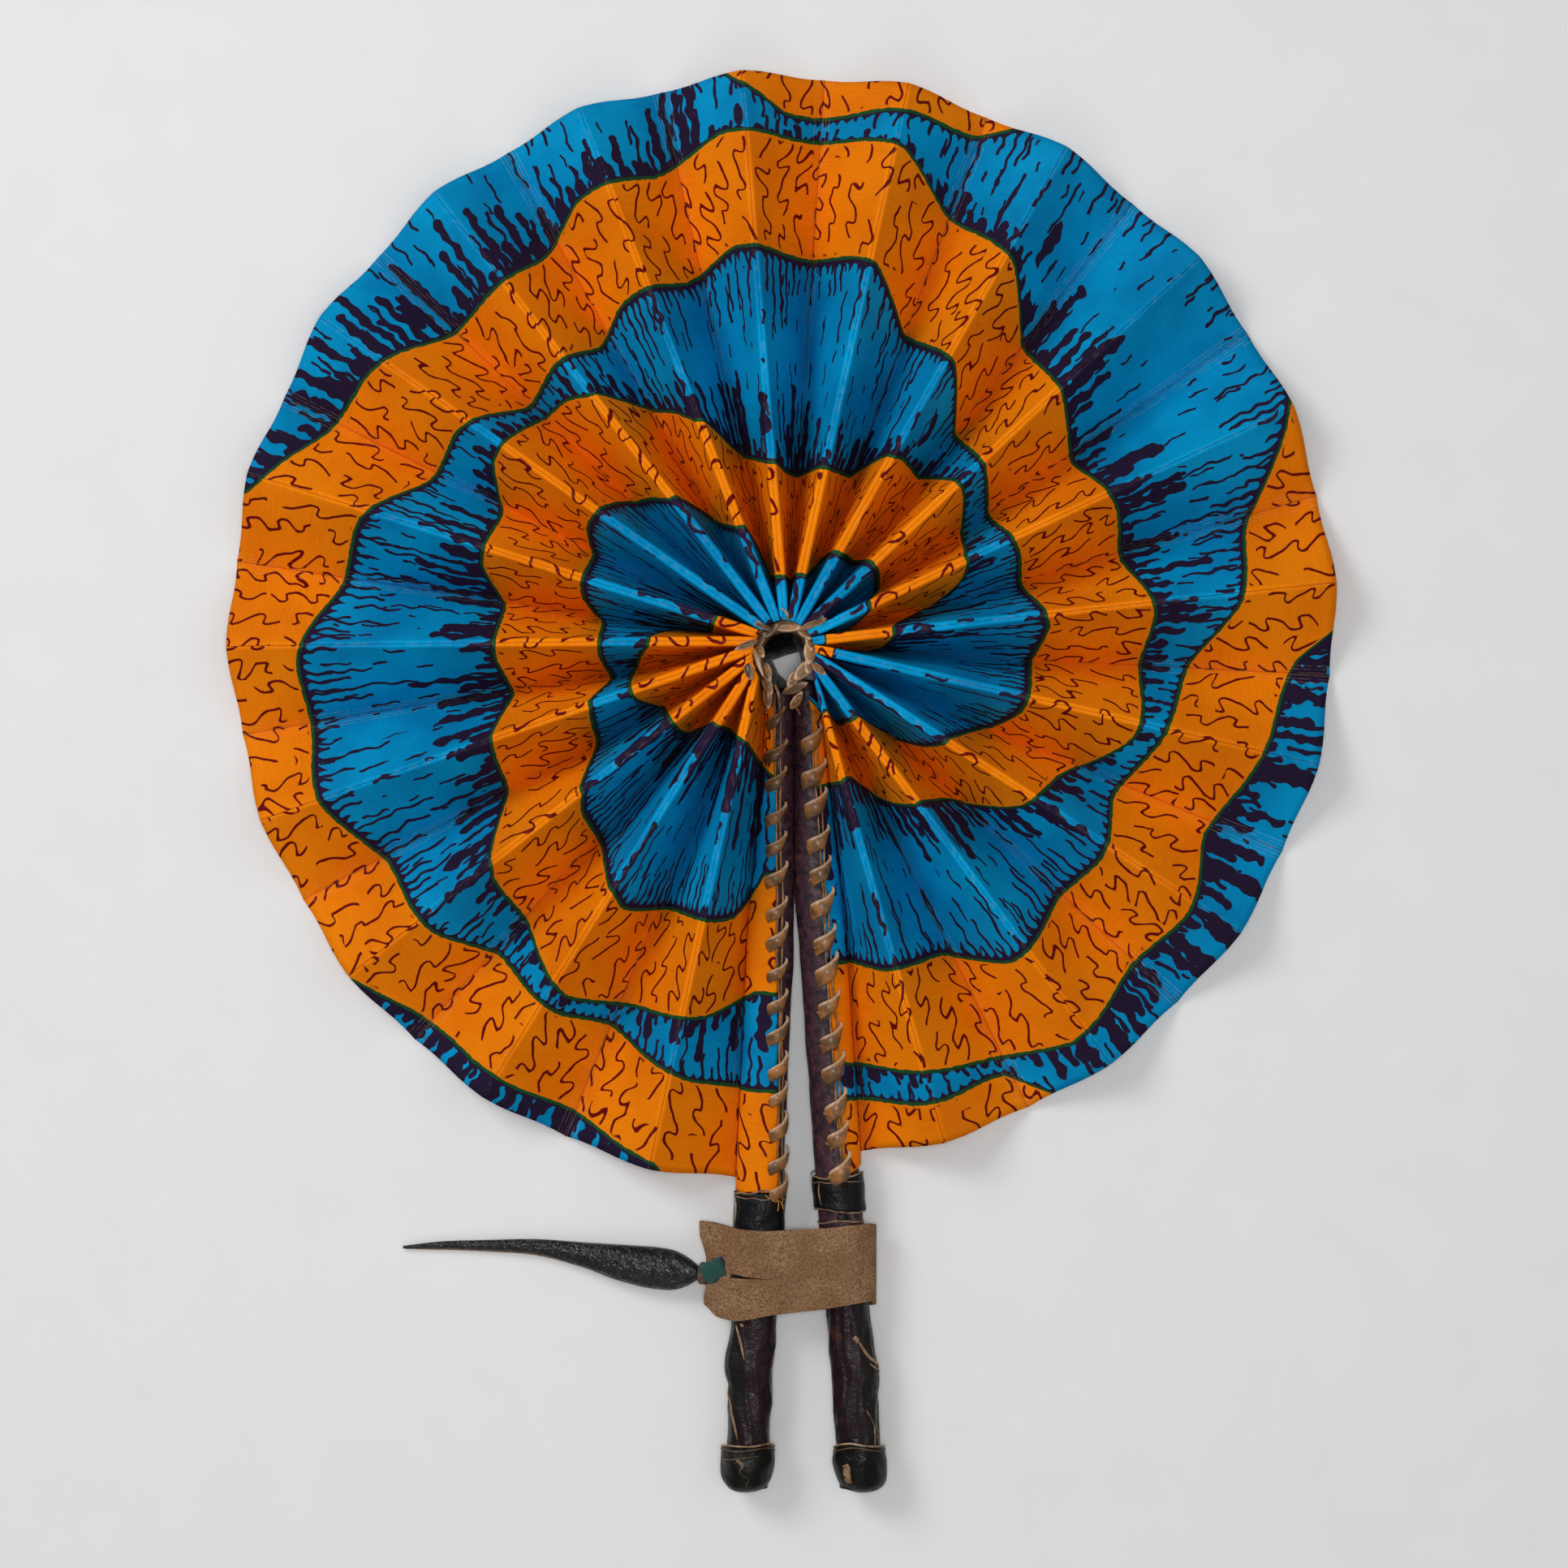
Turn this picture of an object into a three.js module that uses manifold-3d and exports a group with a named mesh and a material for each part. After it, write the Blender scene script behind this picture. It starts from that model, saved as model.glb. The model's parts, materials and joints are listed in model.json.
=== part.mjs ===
// Folding round fan: a pleated cloth leaf between two leather-covered sticks.
// Millimetres, +Z up. The fan lies open on a table with its handles towards -Y.
import * as THREE from 'three';
import { mergeVertices } from 'three/addons/utils/BufferGeometryUtils.js';
import Module from 'manifold-3d';

const clearance = 0.3;

// Leaf
const pleatCount = 19;
const panelWidth = 34;
const clothThickness = 0.6;
const leafRadius = 190;
const leafRise = 10; // the rim's circle is centred this far beyond the hub
const rimTuck = 8; // the rim draws in beside the right stick
const firstValleyTurn = 4.9; // degrees clockwise from -Y, seen from above
const lastValleyTurn = 352;
const pleatSwing = 5.8; // degrees by which the pleats crowd towards the far side
const pleatLean = 2.6;
const valleyHeight = 0.9;
const flattestPleat = 0.28; // least ridge height, as a share of the panel's width
const creaseShares = [0, 0.1, 0.3, 0.55, 0.8, 1]; // rows of each pleat, from hub to rim
const flapSteps = 5; // steps of the end panels over the sticks' tops

// Hub
const hubHalfWidth = 10.6;
const hubHalfLength = 12;
const hubFirstTurn = 62;
const hubLastTurn = 298;
const ringRadius = 2;
const ringHeight = 31;
const ringPlay = 0.2;
const liningWall = 0.8;
const liningFloor = 1;
const liningPlay = 0.35;

// Sticks, with distances along them measured from the hub's centre
const stickStart = 18;
const stickEnd = 277;
const tipHalfWidth = 4.4;
const stickHalfWidth = 7.8;
const taperLength = 92;
const tipHalfHeight = 4.9;
const heightGain = 0.0055; // half height gained per millimetre
const capHalfHeight = 9.3;
const capHalfWidth = 9.3;
const capStart = 269.6;
const capFinish = 285.6;
const capWall = 1.6;
const capLip = 0.93; // size of the cap's open end, as a share of its full size
const coverWall = 1.1;
const collarWall = 1.1;
const wrapStart = 200.5;
const strapStart = 197;
const endValleyStart = 21;

const leftStick = {
  side: -1,
  headX: -1.2,
  footX: -12.6,
  bow: 0.4,
  laceHeadX: -2.8,
  laceFootX: -2,
  rimEnd: 178.6,
  flapEnd: 183,
  collarStart: 183.7,
  collarEnd: strapStart - clearance,
  bulgeAt: 241,
};
const rightStick = {
  side: 1,
  headX: 8.4,
  footX: 26.3,
  bow: -1.2,
  laceHeadX: 9,
  laceFootX: 19.4,
  rimEnd: 169.7,
  flapEnd: 177.5,
  collarStart: 178.4,
  collarEnd: 190.4,
  bulgeAt: 243,
};
const bulgeDepth = 1.4;
const bulgeReach = 9;

// Lacing
const lacingWraps = 15;
const wrapSteps = 10;
const thongRadius = 0.55;
const thongSides = 5;
const wrapHalfWidth = 2.9;
const wrapHalfHeight = 1.25;
const coreThongRadius = 0.3;
const lacingStart = 24;
const lacingEndGap = 6; // from the last wrap to the end of the cloth
const coreOverhang = 3;

// Strap, neck and tongue
const strapLength = 29;
const strapWall = 1.5;
const strapLeft = -28.6;
const strapPlay = 0.4;
const notchDepth = 8.6;
const notchWidth = 10.4;
const notchAt = 210.4;
const slitWidth = 1.4;
const slitLength = 11;
const strapEdgeLength = 2; // of the flat edge where the two layers meet
const strapEdgeGap = 0.2;
const neckHalfWidth = 4.6;
const neckHalfHeight = 2.6;
const neckTuck = 0.2;
const tongueLength = 102.6;
const tongueFloor = 0.3;

const colours = {
  cloth: 0xe07a10,
  clothBlue: 0x1083b8,
  wood: 0x9a7048,
  purpleLeather: 0x3a2630,
  blackLeather: 0x1c1b1d,
  thong: 0x8a6238,
  suede: 0x8d6f4d,
  neckCloth: 0x0f5a50,
};

const { degToRad, smoothstep, lerp } = THREE.MathUtils;
const up = new THREE.Vector3(0, 0, 1);

function matte(color, roughness = 0.8) {
  return new THREE.MeshStandardMaterial({ color, roughness, metalness: 0 });
}

function signedVolume(points, faces) {
  let sum = 0;
  for (const [a, b, c] of faces) {
    sum += points[a].dot(points[b].clone().cross(points[c]));
  }
  return sum / 6;
}

// A closed geometry from points and triangles, with its faces turned outwards
function closedGeometry(points, faces) {
  const inside = signedVolume(points, faces) < 0;
  const index = faces.flatMap(([a, b, c]) => (inside ? [a, c, b] : [a, b, c]));
  const geometry = new THREE.BufferGeometry();
  geometry.setAttribute(
    'position',
    new THREE.Float32BufferAttribute(points.flatMap((p) => p.toArray()), 3),
  );
  geometry.setIndex(index);
  const merged = mergeVertices(geometry, 1e-4);
  merged.computeVertexNormals();
  return merged;
}

// A skin through rings of points. A ring of one point is a pole.
// looped joins the last ring to the first, as on a tube with a wall.
function skin(rings, looped = false) {
  const points = [];
  const starts = rings.map((ring) => {
    points.push(...ring);
    return points.length - ring.length;
  });
  const faces = [];
  const joins = looped ? rings.length : rings.length - 1;
  for (let i = 0; i < joins; i += 1) {
    const next = (i + 1) % rings.length;
    const count = Math.max(rings[i].length, rings[next].length);
    if (count === 1) continue;
    for (let j = 0; j < count; j += 1) {
      const turn = (j + 1) % count;
      const a = starts[i] + (rings[i].length === 1 ? 0 : j);
      const b = starts[i] + (rings[i].length === 1 ? 0 : turn);
      const c = starts[next] + (rings[next].length === 1 ? 0 : turn);
      const d = starts[next] + (rings[next].length === 1 ? 0 : j);
      if (a !== b) faces.push([a, b, c]);
      if (c !== d) faces.push([a, c, d]);
    }
  }
  return closedGeometry(points, faces);
}

// A sheet of even thickness about a grid of centre points, rows along the crease
function clothSolid(rows) {
  const half = clothThickness / 2;
  const width = rows[0].length;
  const upper = [];
  const lower = [];
  rows.forEach((row, i) => {
    const before = rows[Math.max(i - 1, 0)];
    const after = rows[Math.min(i + 1, rows.length - 1)];
    const normals = row.slice(1).map((point, j) => {
      const along = after[j].clone().sub(before[j]);
      return point.clone().sub(row[j]).cross(along).normalize();
    });
    row.forEach((point, j) => {
      const left = normals[Math.max(j - 1, 0)];
      const right = normals[Math.min(j, normals.length - 1)];
      const middle = left.clone().add(right).normalize();
      const reach = Math.min(half / Math.max(middle.dot(left), 0.01), clothThickness);
      upper.push(point.clone().addScaledVector(middle, reach));
      lower.push(point.clone().addScaledVector(middle, -reach));
    });
  });
  const points = [...upper, ...lower];
  const faces = [];
  const quad = (a, b, c, d) => faces.push([a, b, c], [a, c, d]);
  for (let i = 0; i + 1 < rows.length; i += 1) {
    for (let j = 0; j + 1 < width; j += 1) {
      const a = i * width + j;
      const b = a + width;
      const under = upper.length;
      quad(a, b, b + 1, a + 1);
      quad(under + a, under + a + 1, under + b + 1, under + b);
    }
  }
  const edge = [];
  for (let j = 0; j < width; j += 1) edge.push(j);
  for (let i = 1; i < rows.length; i += 1) edge.push(i * width + width - 1);
  for (let j = width - 2; j >= 0; j -= 1) edge.push((rows.length - 1) * width + j);
  for (let i = rows.length - 2; i > 0; i -= 1) edge.push(i * width);
  edge.forEach((a, i) => {
    const b = edge[(i + 1) % edge.length];
    quad(a, b, upper.length + b, upper.length + a);
  });
  return closedGeometry(points, faces);
}

// An unbroken tube along points, closed at both ends
function tubeSolid(path, radius, sides) {
  const rings = [];
  let normal = null;
  path.forEach((point, i) => {
    const before = path[Math.max(i - 1, 0)];
    const after = path[Math.min(i + 1, path.length - 1)];
    const tangent = after.clone().sub(before).normalize();
    if (!normal) normal = tangent.clone().cross(up).normalize();
    normal.addScaledVector(tangent, -normal.dot(tangent)).normalize();
    const side = tangent.clone().cross(normal);
    const ring = [];
    for (let j = 0; j < sides; j += 1) {
      const turn = (2 * Math.PI * j) / sides;
      const spoke = normal.clone().multiplyScalar(Math.cos(turn));
      spoke.addScaledVector(side, Math.sin(turn));
      ring.push(point.clone().addScaledVector(spoke, radius));
    }
    rings.push(ring);
  });
  return skin([[path[0]], ...rings, [path[path.length - 1]]]);
}

// Sticks
function stickAxis(stick, t) {
  const share = (t - stickStart) / (stickEnd - stickStart);
  const x = lerp(stick.headX, stick.footX, share) + stick.bow * Math.sin(Math.PI * share);
  const z = lerp(tipHalfHeight, capHalfHeight, share);
  return new THREE.Vector3(x, -t, z);
}

function stickHalves(t) {
  const width = lerp(
    tipHalfWidth,
    stickHalfWidth,
    smoothstep(t, stickStart, stickStart + taperLength),
  );
  return { width, height: tipHalfHeight + heightGain * (t - stickStart) };
}

function ovalRing(centre, halfWidth, halfHeight, sides = 20) {
  const ring = [];
  for (let j = 0; j < sides; j += 1) {
    const turn = (2 * Math.PI * j) / sides;
    const x = halfWidth * Math.cos(turn);
    const z = halfHeight * Math.sin(turn);
    ring.push(new THREE.Vector3(centre.x + x, centre.y, centre.z + z));
  }
  return ring;
}

function stickRing(stick, t, offset, bulge = 0) {
  const halves = stickHalves(t);
  const ring = ovalRing(stickAxis(stick, t), halves.width + offset, halves.height + offset);
  if (bulge > 0) {
    const axis = stickAxis(stick, t);
    ring.forEach((point) => {
      const outward = (stick.side * (point.x - axis.x)) / halves.width;
      if (outward > 0) point.x += stick.side * bulge * outward;
    });
  }
  return ring;
}

function stations(start, end, count) {
  return Array.from({ length: count + 1 }, (_, i) => lerp(start, end, i / count));
}

function stickCore(stick) {
  const inset = -coverWall - clearance;
  const places = stations(stickStart + clearance, capFinish - capWall - clearance, 12);
  const rings = places.map((t) => stickRing(stick, t, inset));
  return skin([[stickAxis(stick, places[0])], ...rings, [stickAxis(stick, places.at(-1))]]);
}

function sleeve(stick, start, end, inner, outer, count, bulge = () => 0) {
  const places = stations(start, end, count);
  const outside = places.map((t) => stickRing(stick, t, outer, bulge(t)));
  const inside = places.map((t) => stickRing(stick, t, inner)).reverse();
  return skin([...outside, ...inside], true);
}

function handleWrap(stick) {
  const bulge = (t) => bulgeDepth * Math.exp(-(((t - stick.bulgeAt) / bulgeReach) ** 2));
  return sleeve(stick, wrapStart, capStart - clearance, -coverWall, 0, 14, bulge);
}

function endCap(stick) {
  const outer = [];
  const count = 5;
  for (let i = 0; i <= count; i += 1) {
    const t = lerp(capStart, capFinish, i / count);
    const roundness = Math.sqrt(1 - Math.min((i / count) ** 4, 0.99));
    const lift = lerp(capLip, 1, Math.min(i, 1));
    const centre = stickAxis(stick, t);
    centre.z = capHalfHeight;
    const share = roundness * lift;
    outer.push(ovalRing(centre, capHalfWidth * share, capHalfHeight * share));
  }
  const inside = [capStart, capFinish - capWall].map((t) =>
    stickRing(stick, t, -coverWall),
  );
  const end = stickAxis(stick, capFinish);
  end.z = capHalfHeight;
  const floor = stickAxis(stick, capFinish - capWall);
  return skin([...outer, [end], [floor], inside[1], inside[0]], true);
}

// Leaf. Crease 0 is the valley beside the left stick; odd creases are ridges.
const creaseCount = 2 * pleatCount;

function turnDirection(turn) {
  return new THREE.Vector2(-Math.sin(turn), -Math.cos(turn));
}

function rimPoint(k) {
  const s = k / creaseCount;
  const even = lerp(firstValleyTurn, lastValleyTurn, s);
  const drift = pleatSwing * Math.sin(2 * Math.PI * s) - pleatLean * Math.sin(Math.PI * s);
  const direction = turnDirection(degToRad(even + drift));
  const along = direction.y * leafRise;
  const reach = along + Math.sqrt(leafRadius ** 2 - leafRise ** 2 + along ** 2);
  return direction.multiplyScalar(reach - rimTuck * s ** 8);
}

function hubPoint(k) {
  const share = (k - 1) / (creaseCount - 2);
  const direction = turnDirection(degToRad(lerp(hubFirstTurn, hubLastTurn, share)));
  return new THREE.Vector2(direction.x * hubHalfWidth, direction.y * hubHalfLength);
}

// The valley at the foot of a stick's outer side
function stickValley(stick, share) {
  const t = lerp(endValleyStart, stick.rimEnd, share);
  const reach = stickHalves(t).width + clearance + clothThickness;
  return new THREE.Vector2(stickAxis(stick, t).x + stick.side * reach, -t);
}

function creasePlan(k, share) {
  if (k === 0) return stickValley(leftStick, share);
  if (k === creaseCount) return stickValley(rightStick, share);
  return hubPoint(k).lerp(rimPoint(k), share);
}

// A pleat stands as high as its panels' width allows at its spacing
function creasePoint(k, share) {
  const plan = creasePlan(k, share);
  let height = valleyHeight;
  if (k % 2 === 1) {
    const spacing =
      (plan.distanceTo(creasePlan(k - 1, share)) + plan.distanceTo(creasePlan(k + 1, share))) / 2;
    const least = flattestPleat * panelWidth;
    height += Math.sqrt(Math.max(panelWidth ** 2 - spacing ** 2, least ** 2));
  }
  return new THREE.Vector3(plan.x, plan.y, height);
}

// The far edge of a crease's half panel, just short of the panel's middle
function panelMiddle(k, neighbour, share) {
  const reach = 0.5 - clearance / 2 / panelWidth;
  return creasePoint(k, share).lerp(creasePoint(neighbour, share), reach);
}

function pleat(k) {
  const rows = creaseShares.map((share) => [
    panelMiddle(k, k - 1, share),
    creasePoint(k, share),
    panelMiddle(k, k + 1, share),
  ]);
  return clothSolid(rows);
}

// A point on the stick's covered surface, at an angle from its outermost side
function clothOverStick(stick, t, angle, offset) {
  const halves = stickHalves(t);
  const axis = stickAxis(stick, t);
  const x = (halves.width + offset) * Math.cos(angle);
  const z = (halves.height + offset) * Math.sin(angle);
  return new THREE.Vector3(axis.x + stick.side * x, axis.y, axis.z + z);
}

function laceX(stick, t) {
  const share = (t - stickStart) / (stick.flapEnd - stickStart);
  return lerp(stick.laceHeadX, stick.laceFootX, share);
}

function laceAngle(stick, t) {
  const outward = stick.side * (laceX(stick, t) - stickAxis(stick, t).x);
  return Math.acos(outward / (stickHalves(t).width + clearance));
}

function endPanel(stick) {
  const valley = stick.side < 0 ? 0 : creaseCount;
  const neighbour = stick.side < 0 ? 1 : creaseCount - 1;
  const offset = 1.5 * clearance + clothThickness / 2;
  const rows = creaseShares.map((share) => {
    const row = [];
    for (let i = 0; i < flapSteps; i += 1) {
      const end = lerp(stick.flapEnd, stick.rimEnd, i / flapSteps);
      const t = lerp(endValleyStart, end, share);
      row.push(clothOverStick(stick, t, lerp(laceAngle(stick, t), 0, i / flapSteps), offset));
    }
    const foot = creasePoint(valley, share);
    const shoulder = stickAxis(stick, -foot.y);
    row.push(new THREE.Vector3(foot.x, foot.y, shoulder.z));
    row.push(foot, panelMiddle(valley, neighbour, share));
    return row;
  });
  return clothSolid(rows);
}

// Lacing: wraps of thong about a thin straight one, on the edge of the cloth
function lacePoint(stick, t, lateral, lift) {
  const angle = laceAngle(stick, t);
  const halves = stickHalves(t);
  const offset = 1.5 * clearance + clothThickness;
  const base = clothOverStick(stick, t, angle, offset);
  const normal = new THREE.Vector3(
    (stick.side * Math.cos(angle)) / halves.width,
    0,
    Math.sin(angle) / halves.height,
  ).normalize();
  const across = new THREE.Vector3(0, 1, 0).cross(normal);
  return base.addScaledVector(normal, lift).addScaledVector(across, lateral);
}

const coilLift = 2 * clearance + thongRadius + wrapHalfHeight;

function lacingPath(stick) {
  const end = stick.flapEnd - lacingEndGap;
  const count = lacingWraps * wrapSteps;
  const path = [];
  for (let i = 0; i <= count; i += 1) {
    const turn = (2 * Math.PI * i) / wrapSteps;
    const t = lerp(lacingStart, end, i / count);
    const lateral = wrapHalfWidth * Math.sin(turn);
    path.push(lacePoint(stick, t, lateral, coilLift + wrapHalfHeight * Math.cos(turn)));
  }
  return path;
}

// The least gap between points more than half a wrap apart on the same thong
function leastSelfGap(path) {
  let least = Infinity;
  for (let i = 0; i < path.length; i += 1) {
    for (let j = i + wrapSteps / 2; j < path.length; j += 1) {
      least = Math.min(least, path[i].distanceTo(path[j]));
    }
  }
  return least - 2 * thongRadius;
}

function coreThong(stick) {
  const start = lacingStart - coreOverhang;
  const end = stick.flapEnd - lacingEndGap + coreOverhang;
  const places = stations(start, end, 14);
  const path = places.map((t) => lacePoint(stick, t, 0, coilLift));
  return tubeSolid(path, coreThongRadius, 6);
}

// Hub
function hubRing(halfWidth, halfLength, z, count = 28) {
  const ring = [];
  for (let j = 0; j < count; j += 1) {
    const turn = (2 * Math.PI * j) / count;
    ring.push(new THREE.Vector3(halfWidth * Math.cos(turn), halfLength * Math.sin(turn), z));
  }
  return ring;
}

function centreRing() {
  const sides = 10;
  const reach = ringRadius + clearance + ringPlay;
  const rings = Array.from({ length: sides }, (_, i) => {
    const turn = (2 * Math.PI * i) / sides;
    const out = ringRadius * Math.cos(turn) - reach;
    return hubRing(
      hubHalfWidth + out,
      hubHalfLength + out,
      ringHeight + ringRadius * Math.sin(turn),
    );
  });
  return skin(rings, true);
}

function hubLining() {
  const top = ringHeight - ringRadius - clearance;
  const outer = clearance + liningPlay;
  const inner = outer + liningWall;
  return skin(
    [
      hubRing(hubHalfWidth - outer, hubHalfLength - outer, liningFloor),
      hubRing(hubHalfWidth - outer, hubHalfLength - outer, top),
      hubRing(hubHalfWidth - inner, hubHalfLength - inner, top),
      hubRing(hubHalfWidth - inner, hubHalfLength - inner, liningFloor),
    ],
    true,
  );
}

// Strap: a suede band round both handles, its two layers meeting at the left
const wasm = await Module();
wasm.setup();

function toSolid(geometry) {
  const bare = geometry.clone();
  bare.deleteAttribute('normal');
  bare.deleteAttribute('uv');
  const merged = mergeVertices(bare, 1e-4);
  const mesh = new wasm.Mesh({
    numProp: 3,
    vertProperties: Float32Array.from(merged.attributes.position.array),
    triVerts: Uint32Array.from(merged.index.array),
  });
  return new wasm.Manifold(mesh);
}

function fromSolid(solid) {
  const mesh = solid.getMesh();
  const geometry = new THREE.BufferGeometry();
  geometry.setAttribute('position', new THREE.BufferAttribute(mesh.vertProperties, 3));
  geometry.setIndex(new THREE.BufferAttribute(mesh.triVerts, 1));
  geometry.computeVertexNormals();
  return geometry;
}

function block(x0, x1, y0, y1, z0, z1) {
  const geometry = new THREE.BoxGeometry(x1 - x0, y1 - y0, z1 - z0);
  geometry.translate((x0 + x1) / 2, (y0 + y1) / 2, (z0 + z1) / 2);
  return geometry;
}

const strapEnd = strapStart + strapLength;
const strapMiddle = stickAxis(leftStick, (strapStart + strapEnd) / 2).z;
const strapHalf = stickHalves(strapEnd).height + strapPlay;

// The band's outline or its hollow, seen along the handles
function strapOutline(grow, Kind) {
  const reach = stickHalves(strapEnd).width + strapPlay + grow;
  const leftX = stickAxis(leftStick, strapEnd).x;
  const rightX = stickAxis(rightStick, strapEnd).x;
  const half = strapHalf + grow;
  const outline = new Kind();
  const tip = grow > 0 ? strapLeft : leftX - reach - strapEdgeLength;
  const lip = grow > 0 ? strapWall : strapEdgeGap;
  outline.moveTo(tip, strapMiddle - lip);
  outline.quadraticCurveTo(leftX - reach, strapMiddle - half, leftX, strapMiddle - half);
  outline.lineTo(rightX, strapMiddle - half);
  outline.absellipse(rightX, strapMiddle, reach, half, -Math.PI / 2, Math.PI / 2, false);
  outline.lineTo(leftX, strapMiddle + half);
  outline.quadraticCurveTo(leftX - reach, strapMiddle + half, tip, strapMiddle + lip);
  outline.closePath();
  return outline;
}

function strapBand() {
  const shape = strapOutline(strapWall, THREE.Shape);
  shape.holes.push(strapOutline(0, THREE.Path));
  const band = new THREE.ExtrudeGeometry(shape, {
    depth: strapLength,
    bevelEnabled: false,
    curveSegments: 8,
  });
  band.rotateX(Math.PI / 2);
  band.translate(0, -strapStart, 0);
  const notchEnd = strapLeft + notchDepth;
  const half = notchWidth / 2;
  const notch = block(strapLeft - 1, notchEnd, -notchAt - half, -notchAt + half, -1, 40);
  const slitHalf = slitWidth / 2;
  const slitRight = notchEnd + slitLength;
  const slit = block(
    notchEnd - 1,
    slitRight,
    -notchAt - slitHalf,
    -notchAt + slitHalf,
    strapMiddle + strapWall,
    40,
  );
  return fromSolid(toSolid(band).subtract(toSolid(notch)).subtract(toSolid(slit)));
}

// Neck and tongue: rings along -X, each with its place across and its half sizes
function crosswiseRing(x, y, z, halfWidth, halfHeight, sides = 12) {
  const ring = [];
  for (let j = 0; j < sides; j += 1) {
    const turn = (2 * Math.PI * j) / sides;
    const dy = halfWidth * Math.cos(turn);
    const dz = halfHeight * Math.sin(turn);
    ring.push(new THREE.Vector3(x, y + dy, z + dz));
  }
  return ring;
}

const neckStart = strapLeft + notchDepth - clearance;
const neckEnd = strapLeft + neckTuck;

function neckBinding() {
  const rings = [
    crosswiseRing(neckStart, -notchAt, strapMiddle, neckHalfWidth, neckHalfHeight),
    crosswiseRing(neckEnd, -notchAt, strapMiddle, neckHalfWidth, neckHalfHeight),
  ];
  const ends = [neckStart, neckEnd].map((x) => [new THREE.Vector3(x, -notchAt, strapMiddle)]);
  return skin([ends[0], ...rings, ends[1]]);
}

// Share of the length, offset across towards +Y, half width and half thickness.
// The root is narrow, so that the tongue can swing at the neck.
const tongueProfile = [
  [0, 0, 0.4, 1.8],
  [0.02, -0.2, 1.9, 2.6],
  [0.04, -0.3, 3.7, 3.2],
  [0.07, 0.1, 5.4, 4],
  [0.14, 0.8, 7.2, 4.6],
  [0.25, 2.4, 6.4, 4.2],
  [0.39, 5.3, 4.3, 3],
  [0.54, 7.8, 2.7, 2],
  [0.72, 8.4, 1.8, 1.4],
  [0.87, 8.4, 1.25, 1.1],
  [1, 7.6, 0.5, 0.7],
];

function tongue() {
  const start = neckEnd - clearance;
  const rings = tongueProfile.map(([share, across, halfWidth, halfHeight]) => {
    const rest = tongueFloor + halfHeight;
    const z = lerp(strapMiddle, rest, smoothstep(share, 0, 0.14));
    const x = start - tongueLength * share;
    return crosswiseRing(x, across - notchAt, z, halfWidth, halfHeight);
  });
  const poles = [rings[0], rings.at(-1)].map((ring) => {
    const middle = new THREE.Vector3();
    ring.forEach((point) => middle.addScaledVector(point, 1 / ring.length));
    return [middle];
  });
  return skin([poles[0], ...rings, poles[1]]);
}

// Assembly
const fan = new THREE.Group();

function add(name, geometry, material) {
  const mesh = new THREE.Mesh(geometry, material);
  mesh.name = name;
  fan.add(mesh);
}

const twoDigits = (n) => String(n).padStart(2, '0');
for (let k = 1; k < creaseCount; k += 1) {
  const ridge = k % 2 === 1;
  const name = ridge ? `ridge_${twoDigits((k + 1) / 2)}` : `valley_${twoDigits(k / 2)}`;
  add(name, pleat(k), matte(ridge ? colours.cloth : colours.clothBlue));
}

for (const [word, stick] of Object.entries({ left: leftStick, right: rightStick })) {
  const fit = -coverWall;
  const collarEnd = stick.collarEnd;
  const lacing = lacingPath(stick);
  console.log(`${word} lacing: least gap to itself ${leastSelfGap(lacing).toFixed(2)} mm`);
  add(`${word}_stick_core`, stickCore(stick), matte(colours.wood));
  add(
    `${word}_stick_cover`,
    sleeve(stick, stickStart, wrapStart - clearance, fit, 0, 12),
    matte(colours.purpleLeather, 0.6),
  );
  add(
    `${word}_collar`,
    sleeve(stick, stick.collarStart, collarEnd, clearance, collarWall, 2),
    matte(colours.blackLeather, 0.5),
  );
  add(`${word}_handle_wrap`, handleWrap(stick), matte(colours.purpleLeather, 0.5));
  add(`${word}_end_cap`, endCap(stick), matte(colours.blackLeather, 0.5));
  add(`${word}_end_panel`, endPanel(stick), matte(colours.cloth));
  add(`${word}_lacing`, tubeSolid(lacing, thongRadius, thongSides), matte(colours.thong, 0.5));
  add(`${word}_lacing_core`, coreThong(stick), matte(colours.thong, 0.6));
}

add('centre_ring', centreRing(), matte(colours.thong, 0.5));
add('hub_lining', hubLining(), matte(colours.blackLeather));
add('handle_strap', strapBand(), matte(colours.suede, 0.95));
add('neck_binding', neckBinding(), matte(colours.neckCloth, 0.9));
add('tongue', tongue(), matte(colours.blackLeather, 0.4));

// The origin stands on the table, under the middle of the fan's outline
const box = new THREE.Box3().setFromObject(fan);
const centre = box.getCenter(new THREE.Vector3());
fan.position.set(-centre.x, -centre.y, -box.min.z);
const group = new THREE.Group();
group.add(fan);

export default group;
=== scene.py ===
# Folding round fan: a pleated, printed cloth leaf between two leather-covered sticks.
import json
import math
from functools import partial, partialmethod

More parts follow.
